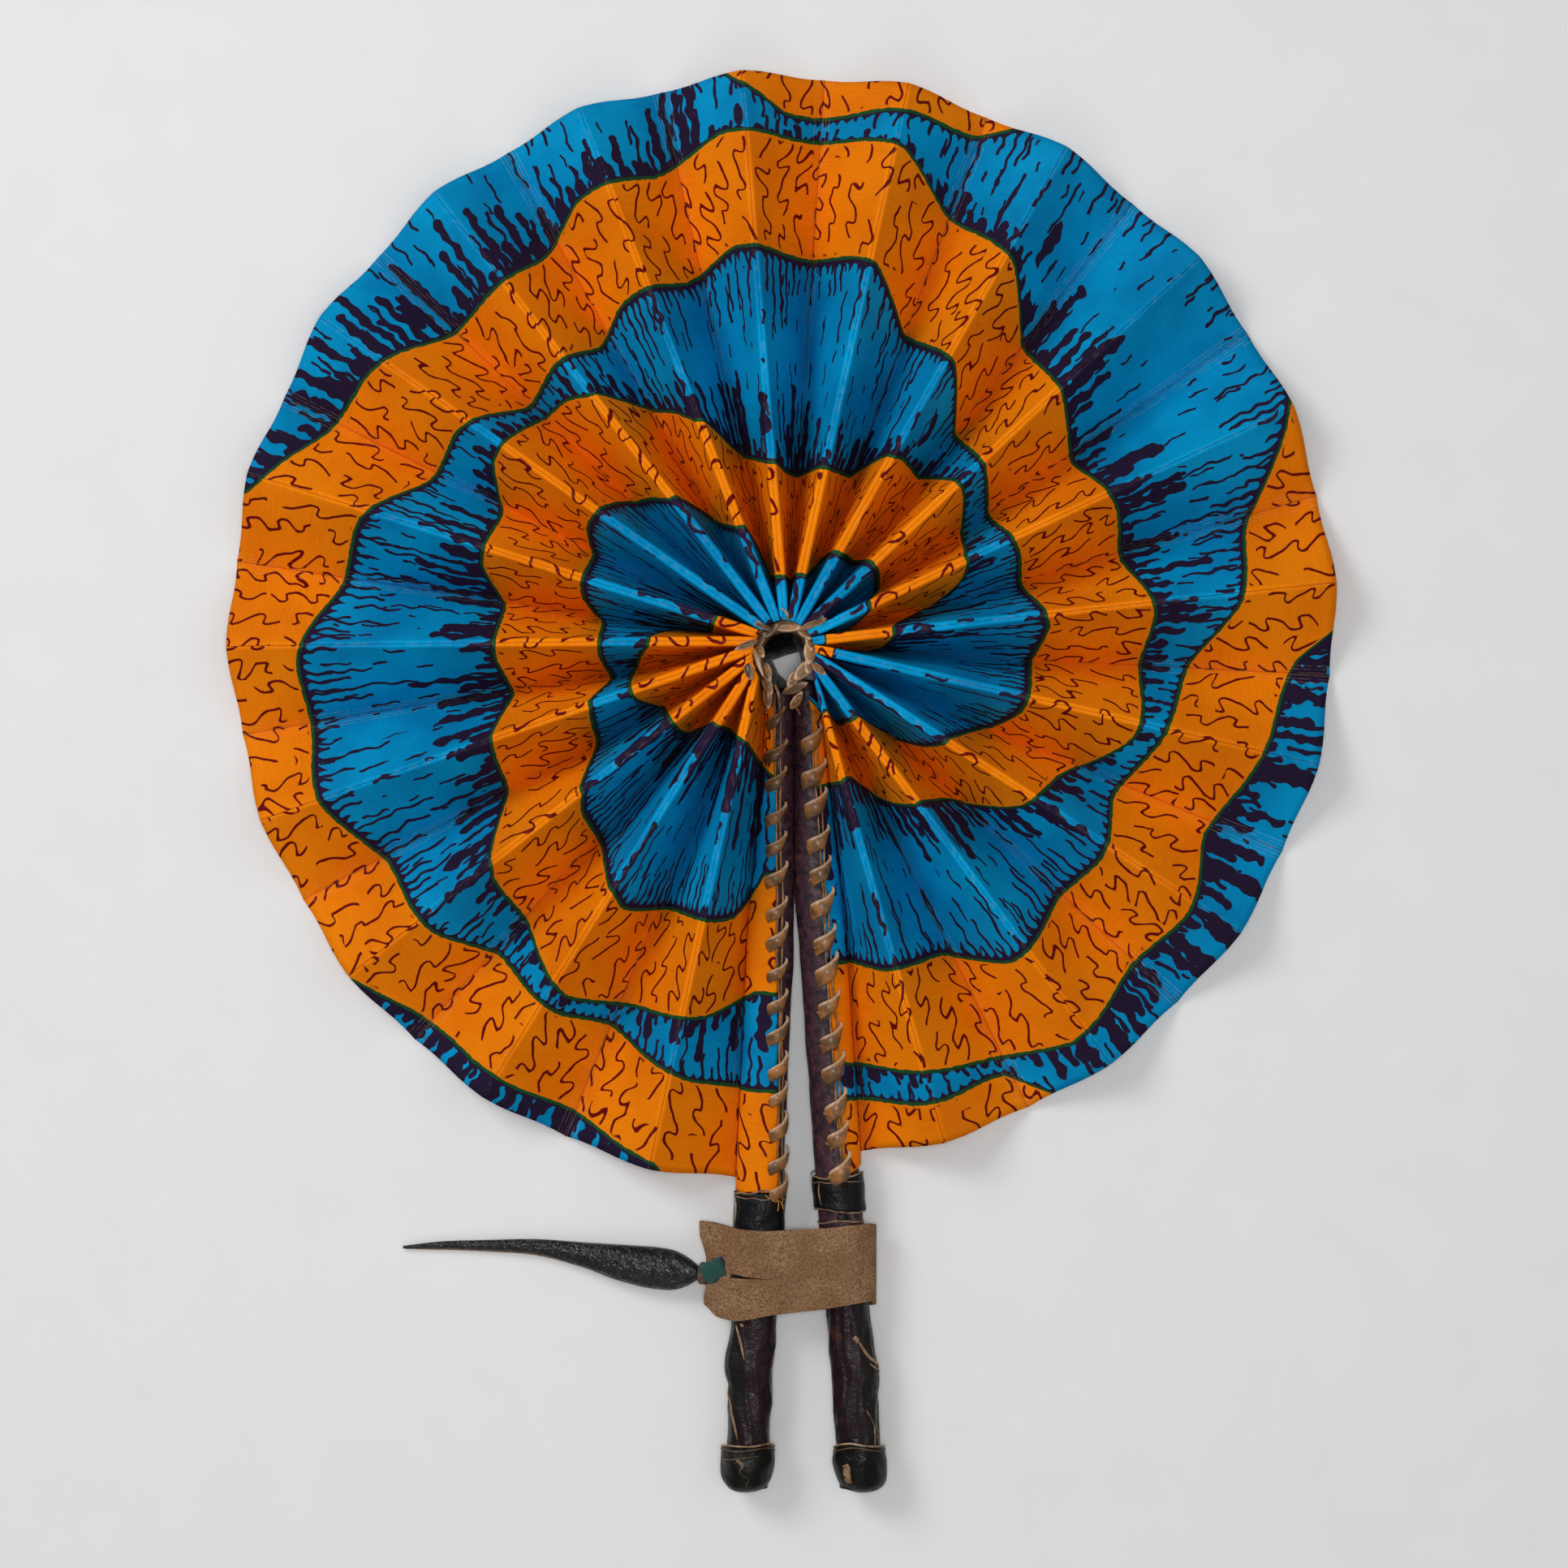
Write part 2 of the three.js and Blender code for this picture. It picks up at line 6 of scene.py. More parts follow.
import bmesh
import bpy
import numpy as np
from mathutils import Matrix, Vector

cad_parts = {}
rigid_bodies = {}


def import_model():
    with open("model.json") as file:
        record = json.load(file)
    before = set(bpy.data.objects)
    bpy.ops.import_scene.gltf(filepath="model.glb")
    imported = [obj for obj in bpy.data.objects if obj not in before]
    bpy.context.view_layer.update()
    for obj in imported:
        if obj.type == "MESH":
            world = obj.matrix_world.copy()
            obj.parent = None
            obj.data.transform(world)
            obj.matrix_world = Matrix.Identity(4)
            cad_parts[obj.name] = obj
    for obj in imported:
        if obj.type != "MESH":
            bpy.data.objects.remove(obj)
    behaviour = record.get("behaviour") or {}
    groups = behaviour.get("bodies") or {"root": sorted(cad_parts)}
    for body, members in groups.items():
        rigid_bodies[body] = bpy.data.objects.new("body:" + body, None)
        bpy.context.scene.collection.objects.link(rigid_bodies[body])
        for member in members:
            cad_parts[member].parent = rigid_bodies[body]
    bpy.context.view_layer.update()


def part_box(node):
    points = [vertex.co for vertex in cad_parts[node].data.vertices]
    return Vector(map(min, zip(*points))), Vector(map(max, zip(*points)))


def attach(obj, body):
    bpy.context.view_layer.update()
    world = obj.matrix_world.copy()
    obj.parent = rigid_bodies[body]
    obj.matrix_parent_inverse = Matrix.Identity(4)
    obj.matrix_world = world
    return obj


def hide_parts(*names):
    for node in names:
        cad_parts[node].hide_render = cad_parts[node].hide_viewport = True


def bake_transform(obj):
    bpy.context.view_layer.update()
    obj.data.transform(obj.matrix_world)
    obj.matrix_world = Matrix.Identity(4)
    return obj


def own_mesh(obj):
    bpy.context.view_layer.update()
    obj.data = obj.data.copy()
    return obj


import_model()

# The layout is in millimetres from the middle of the hub, with the handles towards -Y.
# fanOrigin is that middle in the row frame, found from the strap.
mm = 0.001
strapLow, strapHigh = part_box("handle_strap")
fanOrigin = np.array([strapLow.x + 28.6 * mm, strapHigh.y + 197 * mm, 0.0])


def inRow(points):
    return np.asarray(points, float) * mm + fanOrigin


def lerp(a, b, share):
    return a + (b - a) * share


def smoothstep(value, low, high):
    share = np.clip((value - low) / (high - low), 0, 1)
    return share * share * (3 - 2 * share)


# Camera, floor and light
viewpoint = {"height": 1.3, "lens": 86.5, "aimY": -43.1}

camera = bpy.data.objects.new("camera", bpy.data.cameras.new("camera"))
camera.data.lens = viewpoint["lens"]
camera.location = inRow((0, viewpoint["aimY"], 0))
camera.location.z = viewpoint["height"]
bpy.context.scene.collection.objects.link(camera)
bpy.context.scene.camera = camera

studio = {
    "floorSize": 4.0,
    "world": 0.22,
    "lights": {  # place, size, power
        "key": ((-1.15, 0.95, 1.25), 0.8, 14),
        "top": ((0.02, 0.0, 1.5), 0.3, 6),
        "fill": ((1.3, 0.2, 1.6), 1.8, 3),
        "low": ((-0.2, -1.5, 1.4), 1.2, 3),
    },
}


# Where a point seen at (x, y) on the floor's level lies when it is at height z
def underEye(x, y, z):
    share = z * mm / viewpoint["height"]
    return x * (1 - share), lerp(y, viewpoint["aimY"], share)


# Wires: values in a node tree, whose sums and products add the nodes that work them out
def feed(tree, value, socket):
    if isinstance(value, wire):
        tree.links.new(value.socket, socket)
    elif socket.type == "VECTOR" and not hasattr(value, "__len__"):
        socket.default_value = (value, value, value)
    else:
        socket.default_value = value


# A new node, set and fed, and the wire from one of its outputs
def addNode(tree, kind, output=0, fed=None, **settings):
    node = tree.nodes.new(kind)
    for label, value in settings.items():
        setattr(node, label, value)
    for label, value in (fed or {}).items():
        feed(tree, value, node.inputs[label])
    return wire(tree, node.outputs[output])


class wire:
    def __init__(self, tree, socket):
        self.tree = tree
        self.socket = socket

    def maths(self, operation, *others):
        fed = dict(enumerate((self, *others)))
        return addNode(self.tree, "ShaderNodeMath", 0, fed, operation=operation)

    def vectorMaths(self, operation, *others):
        fed = dict(enumerate((self, *others)))
        output = "Value" if operation == "LENGTH" else "Vector"
        return addNode(self.tree, "ShaderNodeVectorMath", output, fed, operation=operation)

    def both(self, operation, other):
        kinds = {value.socket.type for value in (self, other) if isinstance(value, wire)}
        work = self.vectorMaths if kinds & {"VECTOR", "RGBA"} else self.maths
        return work(operation, other)

    sin = partialmethod(maths, "SINE")
    cos = partialmethod(maths, "COSINE")
    floor = partialmethod(maths, "FLOOR")
    fraction = partialmethod(maths, "FRACT")
    least = partialmethod(maths, "MINIMUM")
    most = partialmethod(maths, "MAXIMUM")
    length = partialmethod(vectorMaths, "LENGTH")
    __abs__ = partialmethod(maths, "ABSOLUTE")
    __add__ = partialmethod(both, "ADD")
    __sub__ = partialmethod(both, "SUBTRACT")
    __mul__ = __rmul__ = partialmethod(both, "MULTIPLY")
    __truediv__ = partialmethod(both, "DIVIDE")

    def __rsub__(self, other):
        return (self * -1) + other

    def part(self, name):
        return addNode(self.tree, "ShaderNodeSeparateXYZ", name, {0: self})

    # 0 below low, 1 above high, smooth between; low may be above high
    def step(self, low, high, bottom=0.0, top=1.0):
        fed = {"Value": self, "From Min": low, "From Max": high, "To Min": bottom, "To Max": top}
        return addNode(self.tree, "ShaderNodeMapRange", 0, fed, interpolation_type="SMOOTHSTEP")


def joinXyz(x, y, z):
    tree = next(value.tree for value in (x, y, z) if isinstance(value, wire))
    return addNode(tree, "ShaderNodeCombineXYZ", 0, {"X": x, "Y": y, "Z": z})


def noise(place, scale=1.0, detail=2.0, roughness=0.5, distortion=0.0, colour=False):
    fed = {"Vector": place, "Scale": scale, "Detail": detail}
    fed |= {"Roughness": roughness, "Distortion": distortion}
    return addNode(place.tree, "ShaderNodeTexNoise", "Color" if colour else 0, fed)


def cells(place, feature="F1"):
    fed = {"Vector": place, "Scale": 1.0}
    return addNode(place.tree, "ShaderNodeTexVoronoi", "Distance", fed, feature=feature)


def chance(place):
    return addNode(place.tree, "ShaderNodeTexWhiteNoise", "Color", {"Vector": place}, noise_dimensions="3D")


# A colour with others laid over it, each given as (share, colour)
def layered(body, *layers):
    for share, over in layers:
        fed = {0: share, 6: body, 7: over}
        body = addNode(share.tree, "ShaderNodeMix", 2, fed, data_type="RGBA", clamp_factor=True)
    return body


def attribute(tree, name, output="Fac"):
    return addNode(tree, "ShaderNodeAttribute", output, attribute_name=name)


# The place on the object in millimetres
def objectPlace(tree):
    return addNode(tree, "ShaderNodeTexCoord", "Object") * 1000.0


# An sRGB colour of 0 to 255, as the linear one that a socket takes
def colour(red, green, blue):
    linear = [((v / 255 + 0.055) / 1.055) ** 2.4 if v > 10 else v / 255 / 12.92 for v in (red, green, blue)]
    return (*linear, 1.0)


def newMaterial(name, **sockets):
    material = bpy.data.materials.new(name)
    material.use_nodes = True
    tree = material.node_tree
    shader = tree.nodes["Principled BSDF"]
    for label, value in sockets.items():
        shader.inputs[label.replace("_", " ")].default_value = value
    return material, tree, shader


def bump(tree, shader, height, strength, distance):
    fed = {"Strength": strength, "Distance": distance, "Height": height}
    feed(tree, addNode(tree, "ShaderNodeBump", 0, fed), shader.inputs["Normal"])


# Meshes
def newObject(name, mesh, material=None):
    piece = bpy.data.objects.new(name, mesh)
    bpy.context.scene.collection.objects.link(piece)
    if material:
        mesh.materials.clear()
        mesh.materials.append(material)
    return piece


# A grid of points in millimetres, rows by columns, as a mesh of quads
def gridMesh(name, rows):
    points = np.asarray(rows, float)
    count, width = points.shape[:2]
    index = np.arange(count * width).reshape(count, width)
    quads = np.stack([index[:-1, :-1], index[:-1, 1:], index[1:, 1:], index[1:, :-1]], -1)
    mesh = bpy.data.meshes.new(name)
    mesh.from_pydata(inRow(points).reshape(-1, 3), [], quads.reshape(-1, 4).tolist())
    return mesh


def addAttributes(mesh, **attributes):
    for name, values in attributes.items():
        values = np.asarray(values, np.float32)
        isVector = values.ndim > 1
        layer = mesh.attributes.new(name, "FLOAT_VECTOR" if isVector else "FLOAT", "POINT")
        layer.data.foreach_set("vector" if isVector else "value", values.ravel())


# Where the points of a mesh lie in the layout, in millimetres
def meshSpots(mesh):
    co = np.empty(len(mesh.vertices) * 3)
    mesh.vertices.foreach_get("co", co)
    return (co.reshape(-1, 3) - fanOrigin) / mm


# The object's modifiers, evaluated once and kept as a plain mesh
def settle(piece):
    bpy.context.view_layer.update()
    evaluated = piece.evaluated_get(bpy.context.evaluated_depsgraph_get())
    mesh = bpy.data.meshes.new_from_object(evaluated)
    piece.modifiers.clear()
    piece.data = mesh
    mesh.shade_smooth()


def thicken(piece, thickness, offset=-1):
    solid = piece.modifiers.new("thickness", "SOLIDIFY")
    solid.thickness = thickness * mm
    solid.offset = offset


# Node groups and geometry trees
def newGroup(name, kind, inputs, outputs):
    tree = bpy.data.node_groups.new(name, kind)
    for way, sockets in (("INPUT", inputs), ("OUTPUT", outputs)):
        for label, socketKind in sockets.items():
            tree.interface.new_socket(label, in_out=way, socket_type=f"NodeSocket{socketKind}")
    entry = tree.nodes.new("NodeGroupInput")
    leave = tree.nodes.new("NodeGroupOutput")
    return tree, {s.name: wire(tree, s) for s in entry.outputs if s.name}, leave


def newFormTree(name, inputs):
    inputs = {"Geometry": "Geometry", **inputs}
    return newGroup(name, "GeometryNodeTree", inputs, {"Geometry": "Geometry"})


def endFormTree(tree, leave, geometry, material):
    realized = addNode(tree, "GeometryNodeRealizeInstances", 0, {0: geometry})
    fed = {"Geometry": realized, "Material": material}
    feed(tree, addNode(tree, "GeometryNodeSetMaterial", 0, fed), leave.inputs[0])


def addForm(piece, tree, settings):
    modifier = piece.modifiers.new("form", "NODES")
    modifier.node_group = tree
    for item in tree.interface.items_tree:
        if item.in_out == "INPUT" and item.name in settings:
            modifier[item.identifier] = settings[item.name]


def named(tree, name, kind="FLOAT_VECTOR"):
    return addNode(tree, "GeometryNodeInputNamedAttribute", 0, {"Name": name}, data_type=kind)


# Layout of the sticks
sticks = {
    "left": {"side": -1, "headX": -1.2, "footX": -12.6, "bow": 0.4, "laceHeadX": -2.8, "laceFootX": -2,
             "rimEnd": 178.6, "flapEnd": 185.2, "flapSide": 181.8},
    "right": {"side": 1, "headX": 8.4, "footX": 26.3, "bow": -1.2, "laceHeadX": 9, "laceFootX": 19.4,
              "rimEnd": 169.7, "flapEnd": 177.5, "flapSide": 172.5},
}
stickForm = {
    "start": 18, "end": 277, "taperEnd": 110,
    "tipHalfWidth": 4.4, "footHalfWidth": 7.8,
    "tipHalf": 4.9, "capHalf": 9.3, "gain": 0.0055,  # half heights, and what they gain per millimetre
}


def stickAxis(stick, t):
    share = (t - stickForm["start"]) / (stickForm["end"] - stickForm["start"])
    x = lerp(stick["headX"], stick["footX"], share) + stick["bow"] * np.sin(math.pi * share)
    return x, -t, lerp(stickForm["tipHalf"], stickForm["capHalf"], share)


def stickHalves(t):
    width = lerp(stickForm["tipHalfWidth"], stickForm["footHalfWidth"],
                 smoothstep(t, stickForm["start"], stickForm["taperEnd"]))
    return width, stickForm["tipHalf"] + stickForm["gain"] * (t - stickForm["start"])


# Layout of the leaf's creases; odd ones are ridges
leaf = {
    "creases": 38, "start": 12.8, "panelWidth": 34.0, "thickness": 0.35, "rows": 64,
    "radius": 190.0, "rise": 10.0, "valleyHeight": 0.9, "flattest": 0.28,
    "rimTurns": (4.9, 352), "rimSway": (5.8, 2.6), "rimLoss": 8,  # rimLoss in millimetres
    "hubTurns": (62, 298), "hubHalves": (10.6, 12),  # turns and sways in degrees
    "across": [0, 0.03, 0.09, 0.19, 0.34, 0.5, 0.66, 0.8, 0.9, 0.95, 0.962, 0.974, 1],
    "rippleDrift": 2.2,  # how far the ripples shift from one panel to the next
    "form": {"Ridge Radius": 0.45, "Ridge Flat": 0.92, "Ripple Height": 1.1, "Ripple Length": 24.0,
             "Rim Wave": 0.4},
}


def rimPoint(k):
    s = k / leaf["creases"]
    wide, slow = leaf["rimSway"]
    even = lerp(*leaf["rimTurns"], s)
    turn = math.radians(even + wide * math.sin(2 * math.pi * s) - slow * math.sin(math.pi * s))
    x, y = -math.sin(turn), -math.cos(turn)
    along = y * leaf["rise"]
    reach = along + math.sqrt(leaf["radius"] ** 2 - leaf["rise"] ** 2 + along**2)
    reach -= leaf["rimLoss"] * s**8
    return np.array([x * reach, y * reach])


def hubPoint(k):
    turn = math.radians(lerp(*leaf["hubTurns"], (k - 1) / (leaf["creases"] - 2)))
    halfX, halfY = leaf["hubHalves"]
    return np.array([-math.sin(turn) * halfX, -math.cos(turn) * halfY])


def creasePlan(k, share):
    if k in (0, leaf["creases"]):
        stick = sticks["left" if k == 0 else "right"]
        t = lerp(leaf["start"], stick["rimEnd"], share)
        x = stickAxis(stick, t)[0] + stick["side"] * (stickHalves(t)[0] + 0.9)
        return np.stack([x, -t], -1)
    return lerp(hubPoint(k), rimPoint(k), share[:, None])


def creasePoints(k, share):
    plan = creasePlan(k, share)
    height = np.full(len(share), leaf["valleyHeight"])
    if k % 2:
        gaps = [np.linalg.norm(plan - creasePlan(k + side, share), axis=1) for side in (-1, 1)]
        spacing = sum(gaps) / 2
        least = leaf["flattest"] * leaf["panelWidth"]
        height += np.sqrt(np.maximum(leaf["panelWidth"] ** 2 - spacing**2, least**2))
    return np.column_stack([plan, height])


def creaseBody(k):
    if k == 0:
        return "left_stick"
    if k == leaf["creases"]:
        return "right_stick"
    return f"ridge_{(k + 1) // 2:02d}" if k % 2 else f"valley_{k // 2:02d}"


# The print: blue bands on orange, each with its outer and inner border as
# (degrees clockwise from the handles, millimetres from the hub)
farOut = 230
blueBands = {
    "rimEdge": (
        [(0, farOut), (360, farOut)],
        [(8, 205), (14, 179), (20, 175), (25, 172), (32, 173), (41, 174), (46, 176), (53, 183), (60, 205)],
    ),
    "middle": (
        [(5, 148), (13, 147), (19.5, 143), (25, 139), (33, 143), (44, 141), (52, 151), (63, 153), (73, 165),
         (81.5, 164), (90, 165), (99, 154), (108, 151), (116, 136), (125, 134), (134, 123), (142, 125),
         (149, 123), (155, 132), (165, 132), (173, 140), (180, 137), (193, 136), (200, 119), (210, 114),
         (217, 97), (226, 93), (236, 85), (246, 87), (254, 85), (263, 90), (270, 85), (283, 82), (293, 67),
         (302, 56), (311, 32), (323, 28), (335, 0)],
        [(5, 115), (12, 125), (23, 130), (33, 137), (44, 127), (53, 124), (64, 106), (74, 103), (82, 94),
         (90, 98), (101, 98), (107, 107), (117, 109), (124, 119), (132, 118), (140, 115), (149, 101),
         (156, 92), (166, 74), (174, 67), (180, 63), (193, 65), (200, 67), (210, 78), (217, 78), (226, 83),
         (236, 74), (246, 66), (254, 41), (263, 33), (270, 0)],
    ),
    "inner": (
        [(5, 74), (11, 90), (24, 94), (33, 101), (43, 90), (53, 86), (64, 71), (76, 67), (82, 59), (90, 62),
         (101, 63), (107, 71), (118, 74), (124, 80), (133, 77), (140, 71), (149, 59), (156, 50), (162, 45),
         (170, 29), (180, 26), (193, 28), (200, 35), (210, 40), (217, 41), (226, 43), (236, 39), (246, 22),
         (254, 0)],
        [(5, 41), (24, 32), (44, 32), (54, 43), (68, 45), (76, 53), (90, 50), (101, 42), (108, 28),
         (120, 26), (130, 17), (138, 0)],
    ),
    "outer": (
        [(166, farOut), (174, 200), (180, 186), (193, 190), (200, 191), (207, 205), (236, 210), (246, 186),
         (254, 165), (263, 156), (270, 140), (283, 130), (293, 122), (302, 127), (311, 125), (323, 129),
         (332, 115), (342, 111), (348, 106)],
        [(100, farOut), (107, 192), (116, 176), (124.5, 171), (134, 160), (149, 160), (155.5, 171),
         (165, 171), (173, 180), (180, 178), (193, 178), (200, 163), (210, 155), (217, 136), (226, 130),
         (236, 120), (246, 124), (254, 121), (263, 127), (270, 123), (283, 122), (293, 103), (302, 95),
         (311, 74), (323, 62), (332, 47), (342, 46), (352, 46)],
    ),
    "farSide": (
        [(312, farOut), (323, 196), (332, 162), (342, 159), (352, 152)],
        [(258, farOut), (270, 177), (283, 165), (293, 157), (302, 163), (311, 160), (323, 164), (332, 156),
         (342, 148), (352, 140)],
    ),
}


# A smooth curve through knots, level beyond its ends
def smoothCurve(knots, places):
    xs, ys = np.array(knots, float).T
    slopes = np.gradient(ys, xs)
    i = np.clip(np.searchsorted(xs, places) - 1, 0, len(xs) - 2)
    span = xs[i + 1] - xs[i]
    u = np.clip((places - xs[i]) / span, 0, 1)
    rise = ys[i] * (2 * u**3 - 3 * u**2 + 1) + ys[i + 1] * (3 * u**2 - 2 * u**3)
    lean = slopes[i] * (u**3 - 2 * u**2 + u) + slopes[i + 1] * (u**3 - u**2)
    return rise + span * lean


# A band's border runs nearly straight from crease to crease
def bandEdge(knots, turn):
    places, radii = np.array(knots, float).T
    return lerp(np.interp(turn, places, radii), smoothCurve(knots, turn), 0.35)


# Writes where each point of a cloth mesh lies in the print
def markPrint(mesh, across, along, share):
    plan = meshSpots(mesh)[:, :2]
    turn = np.degrees(np.arctan2(-plan[:, 0], -plan[:, 1])) % 360
    radius = np.hypot(plan[:, 0], plan[:, 1])
    best = np.full(len(plan), -1e3)
    outer = np.zeros(len(plan))
    inner = np.zeros(len(plan))
    for outerKnots, innerKnots in blueBands.values():
        fromOuter = bandEdge(outerKnots, turn) - radius
        fromInner = radius - bandEdge(innerKnots, turn)
        depth = np.minimum(fromOuter, fromInner)
        better = depth > best
        best = np.where(better, depth, best)
        outer = np.where(better, fromOuter, outer)
        inner = np.where(better, fromInner, inner)
    addAttributes(
        mesh,
        blueDepth=np.clip(best, -40, 60),
        fromOuter=np.clip(outer, -40, 90),
        fromInner=np.clip(inner, -40, 90),
        clothPlace=np.column_stack([across, along, share]),
    )


# Shader groups that several materials use
def useGroup(tree, group, **values):
    node = tree.nodes.new("ShaderNodeGroup")
    node.node_tree = group
    for label, value in values.items():
        feed(tree, value, node.inputs[label])
    return {s.name: wire(tree, s) for s in node.outputs}


# Threads crossing over and under, in the units of Place
def makeWeave():
    inputs = {"Place": "Vector", "Pitch": "Float"}
    outputs = {"Height": "Float", "Thread": "Float"}
    tree, given, leave = newGroup("threadWeave", "ShaderNodeTree", inputs, outputs)
    place = given["Place"] / joinXyz(given["Pitch"], given["Pitch"], 1.0)
    x = place.part("X")
    y = place.part("Y")
    over = (x * math.pi).sin() * (y * math.pi).sin()
    warp = abs((x * math.pi).cos())
    weft = abs((y * math.pi).cos())
    height = over.step(-0.4, 0.4) * (warp - weft) + weft
    feed(tree, height, leave.inputs["Height"])
    slub = noise(joinXyz(x * 0.05, y * 0.6, 0.0), 1.0, 2.0)
    feed(tree, slub, leave.inputs["Thread"])
    return tree


weave = makeWeave()

printLook = {
    "orange": colour(246, 134, 6),
    "orangeDeep": colour(232, 118, 3),
    "maroon": colour(104, 10, 14),
    "blue": colour(0, 154, 210),
    "blueDeep": colour(0, 126, 181),
    "dark": colour(38, 26, 52),
    "green": colour(26, 78, 40),
    "pale": colour(255, 214, 160),
    "squiggleSpacing": 9.6,
    "squiggleHalfWidth": 0.49,
    "threadPitch": 0.42,
    "paleValley": 0.26,
    "paleRidge": 0.05,
    "palePleats": 0.14,
    "threads": 0.28,  # how much light and dark threads differ
    "ridgeHighlight": 0.26,  # how much brighter the ridge tops are painted: a painted highlight
}


# How far a point lies beside its column's squiggle, a wave that leans until its turns overhang
def squiggleOffset(local, down, across, along, luck, drift):
    size = (luck.part("Y") * 0.8 + 1.0) * (drift * 3.6 + 0.4)
    pitch = luck.part("Z") * 0.14 + 0.46
    lean = (luck.part("X") - luck.part("Y")).maths("SIGN") * 0.8
    wave = ((down + local * lean) * pitch + luck.part("Y") * 6.28 + drift * 4.0).sin()
    rounded = (wave * wave + 0.55).maths("SQRT")
    jitter = noise(joinXyz(across * 0.17, along * 0.17, 19.0), 1.0, 1.0) - 0.5
    return local - size * wave / rounded + jitter * 2.4


# Maroon squiggles in columns, broken into lengths. Dividing by the offset's own slope keeps the
# line's width even.
def squiggles(across, along, spacing, halfWidth):
    wander = noise(joinXyz(across * 0.02, along * 0.03, 3.0), 1.0, 1.0)
    x = across / spacing + wander * 0.9
    column = x.floor()
    columnLuck = chance(joinXyz(column, 7.0, 0.0))
    lengthUnit = columnLuck.part("X") * 9.0 + 25.0
    y = along / lengthUnit + columnLuck.part("Y") * 5.0
    luck = chance(joinXyz(column, y.floor(), 11.0))
    local = (x.fraction() - 0.5) * spacing + (luck.part("X") - 0.5) * (spacing * 0.3)
    down = y.fraction() * lengthUnit
    drift = noise(joinXyz(column * 3.7, along * 0.11, 9.0), 1.0, 0.0)
    step = 0.2
    here = squiggleOffset(local, down, across, along, luck, drift)
    beside = squiggleOffset(local + step, down, across + step, along, luck, drift) - here
    below = squiggleOffset(local, down + step, across, along + step, luck, drift) - here
    slope = (beside * beside + below * below).maths("SQRT") / step
    distance = abs(here) / slope.most(0.5)
    thick = halfWidth * (noise(joinXyz(across, along, 5.0), 0.4, 1.0) * 0.6 + 0.7)
    line = (distance - thick).step(0.12, -0.12)
    within = (y.fraction() - luck.part("Z") * 0.22 - 0.72).step(0.012, -0.012)
    return line * within


# How far a point lies outside the nearest dark drop. The drops stand in columns on a band's border,
# round at their ends and swelling along their length; loose is the share of them that is cut free.
def drops(across, along, depth, spacing, halfWidth, reach, base, loose, seed, swelling):
    wander = noise(joinXyz(across * 0.05, along * 0.17, seed), 1.0, 0.5) - 0.5
    x = across / spacing + wander * (5.0 / spacing)
    column = x.floor()
    luck = chance(joinXyz(column, seed, 2.0))
    local = abs((x.fraction() - 0.5 + (luck.part("X") - 0.5) * 0.3) * spacing)
    swell = noise(joinXyz(column * 5.1, along * 0.24, seed + 4.0), 1.0, 0.5)
    half = halfWidth * ((swell - 0.5) * swelling + 1.0)
    top = reach * (luck.part("Y") * luck.part("Y") * 0.9 + 0.09)
    bottom = luck.part("Z").step(1.0 - loose, 1.01 - loose) * top * 0.5 - 4.0 * (1.0 - loose)
    past = (depth - top + half).most(0.0) + (bottom - depth + half).most(0.0)
    drop = (local * local + past * past).maths("SQRT") - half
    arch = 1.0 - local / (spacing * 0.5)
    belt = depth - base * (arch * arch * 1.6 + 0.75)
    return drop.least(belt)


# Dashes that lie loose in the widest parts of a band
def dashes(across, along, spacing, length, seed):
    wander = noise(joinXyz(across * 0.08, along * 0.17, seed), 1.0, 1.0) - 0.5
    x = across / spacing + wander * 0.7
    column = x.floor()
    y = along / length + chance(joinXyz(column, seed, 1.0)).part("X") * 7.0
    luck = chance(joinXyz(column, y.floor(), seed))
    local = abs((x.fraction() - 0.5 + (luck.part("X") - 0.5) * 0.5) * spacing)
    half = noise(joinXyz(column * 5.1, along * 0.35, seed), 1.0, 1.0) * 0.8 + 0.15
    past = (abs(y.fraction() - 0.5) * length - luck.part("Y") * length * 0.36).most(0.0)
    gone = luck.part("Z").step(0.55, 0.57) * 9.0
    return (local * local + past * past).maths("SQRT") - half + gone


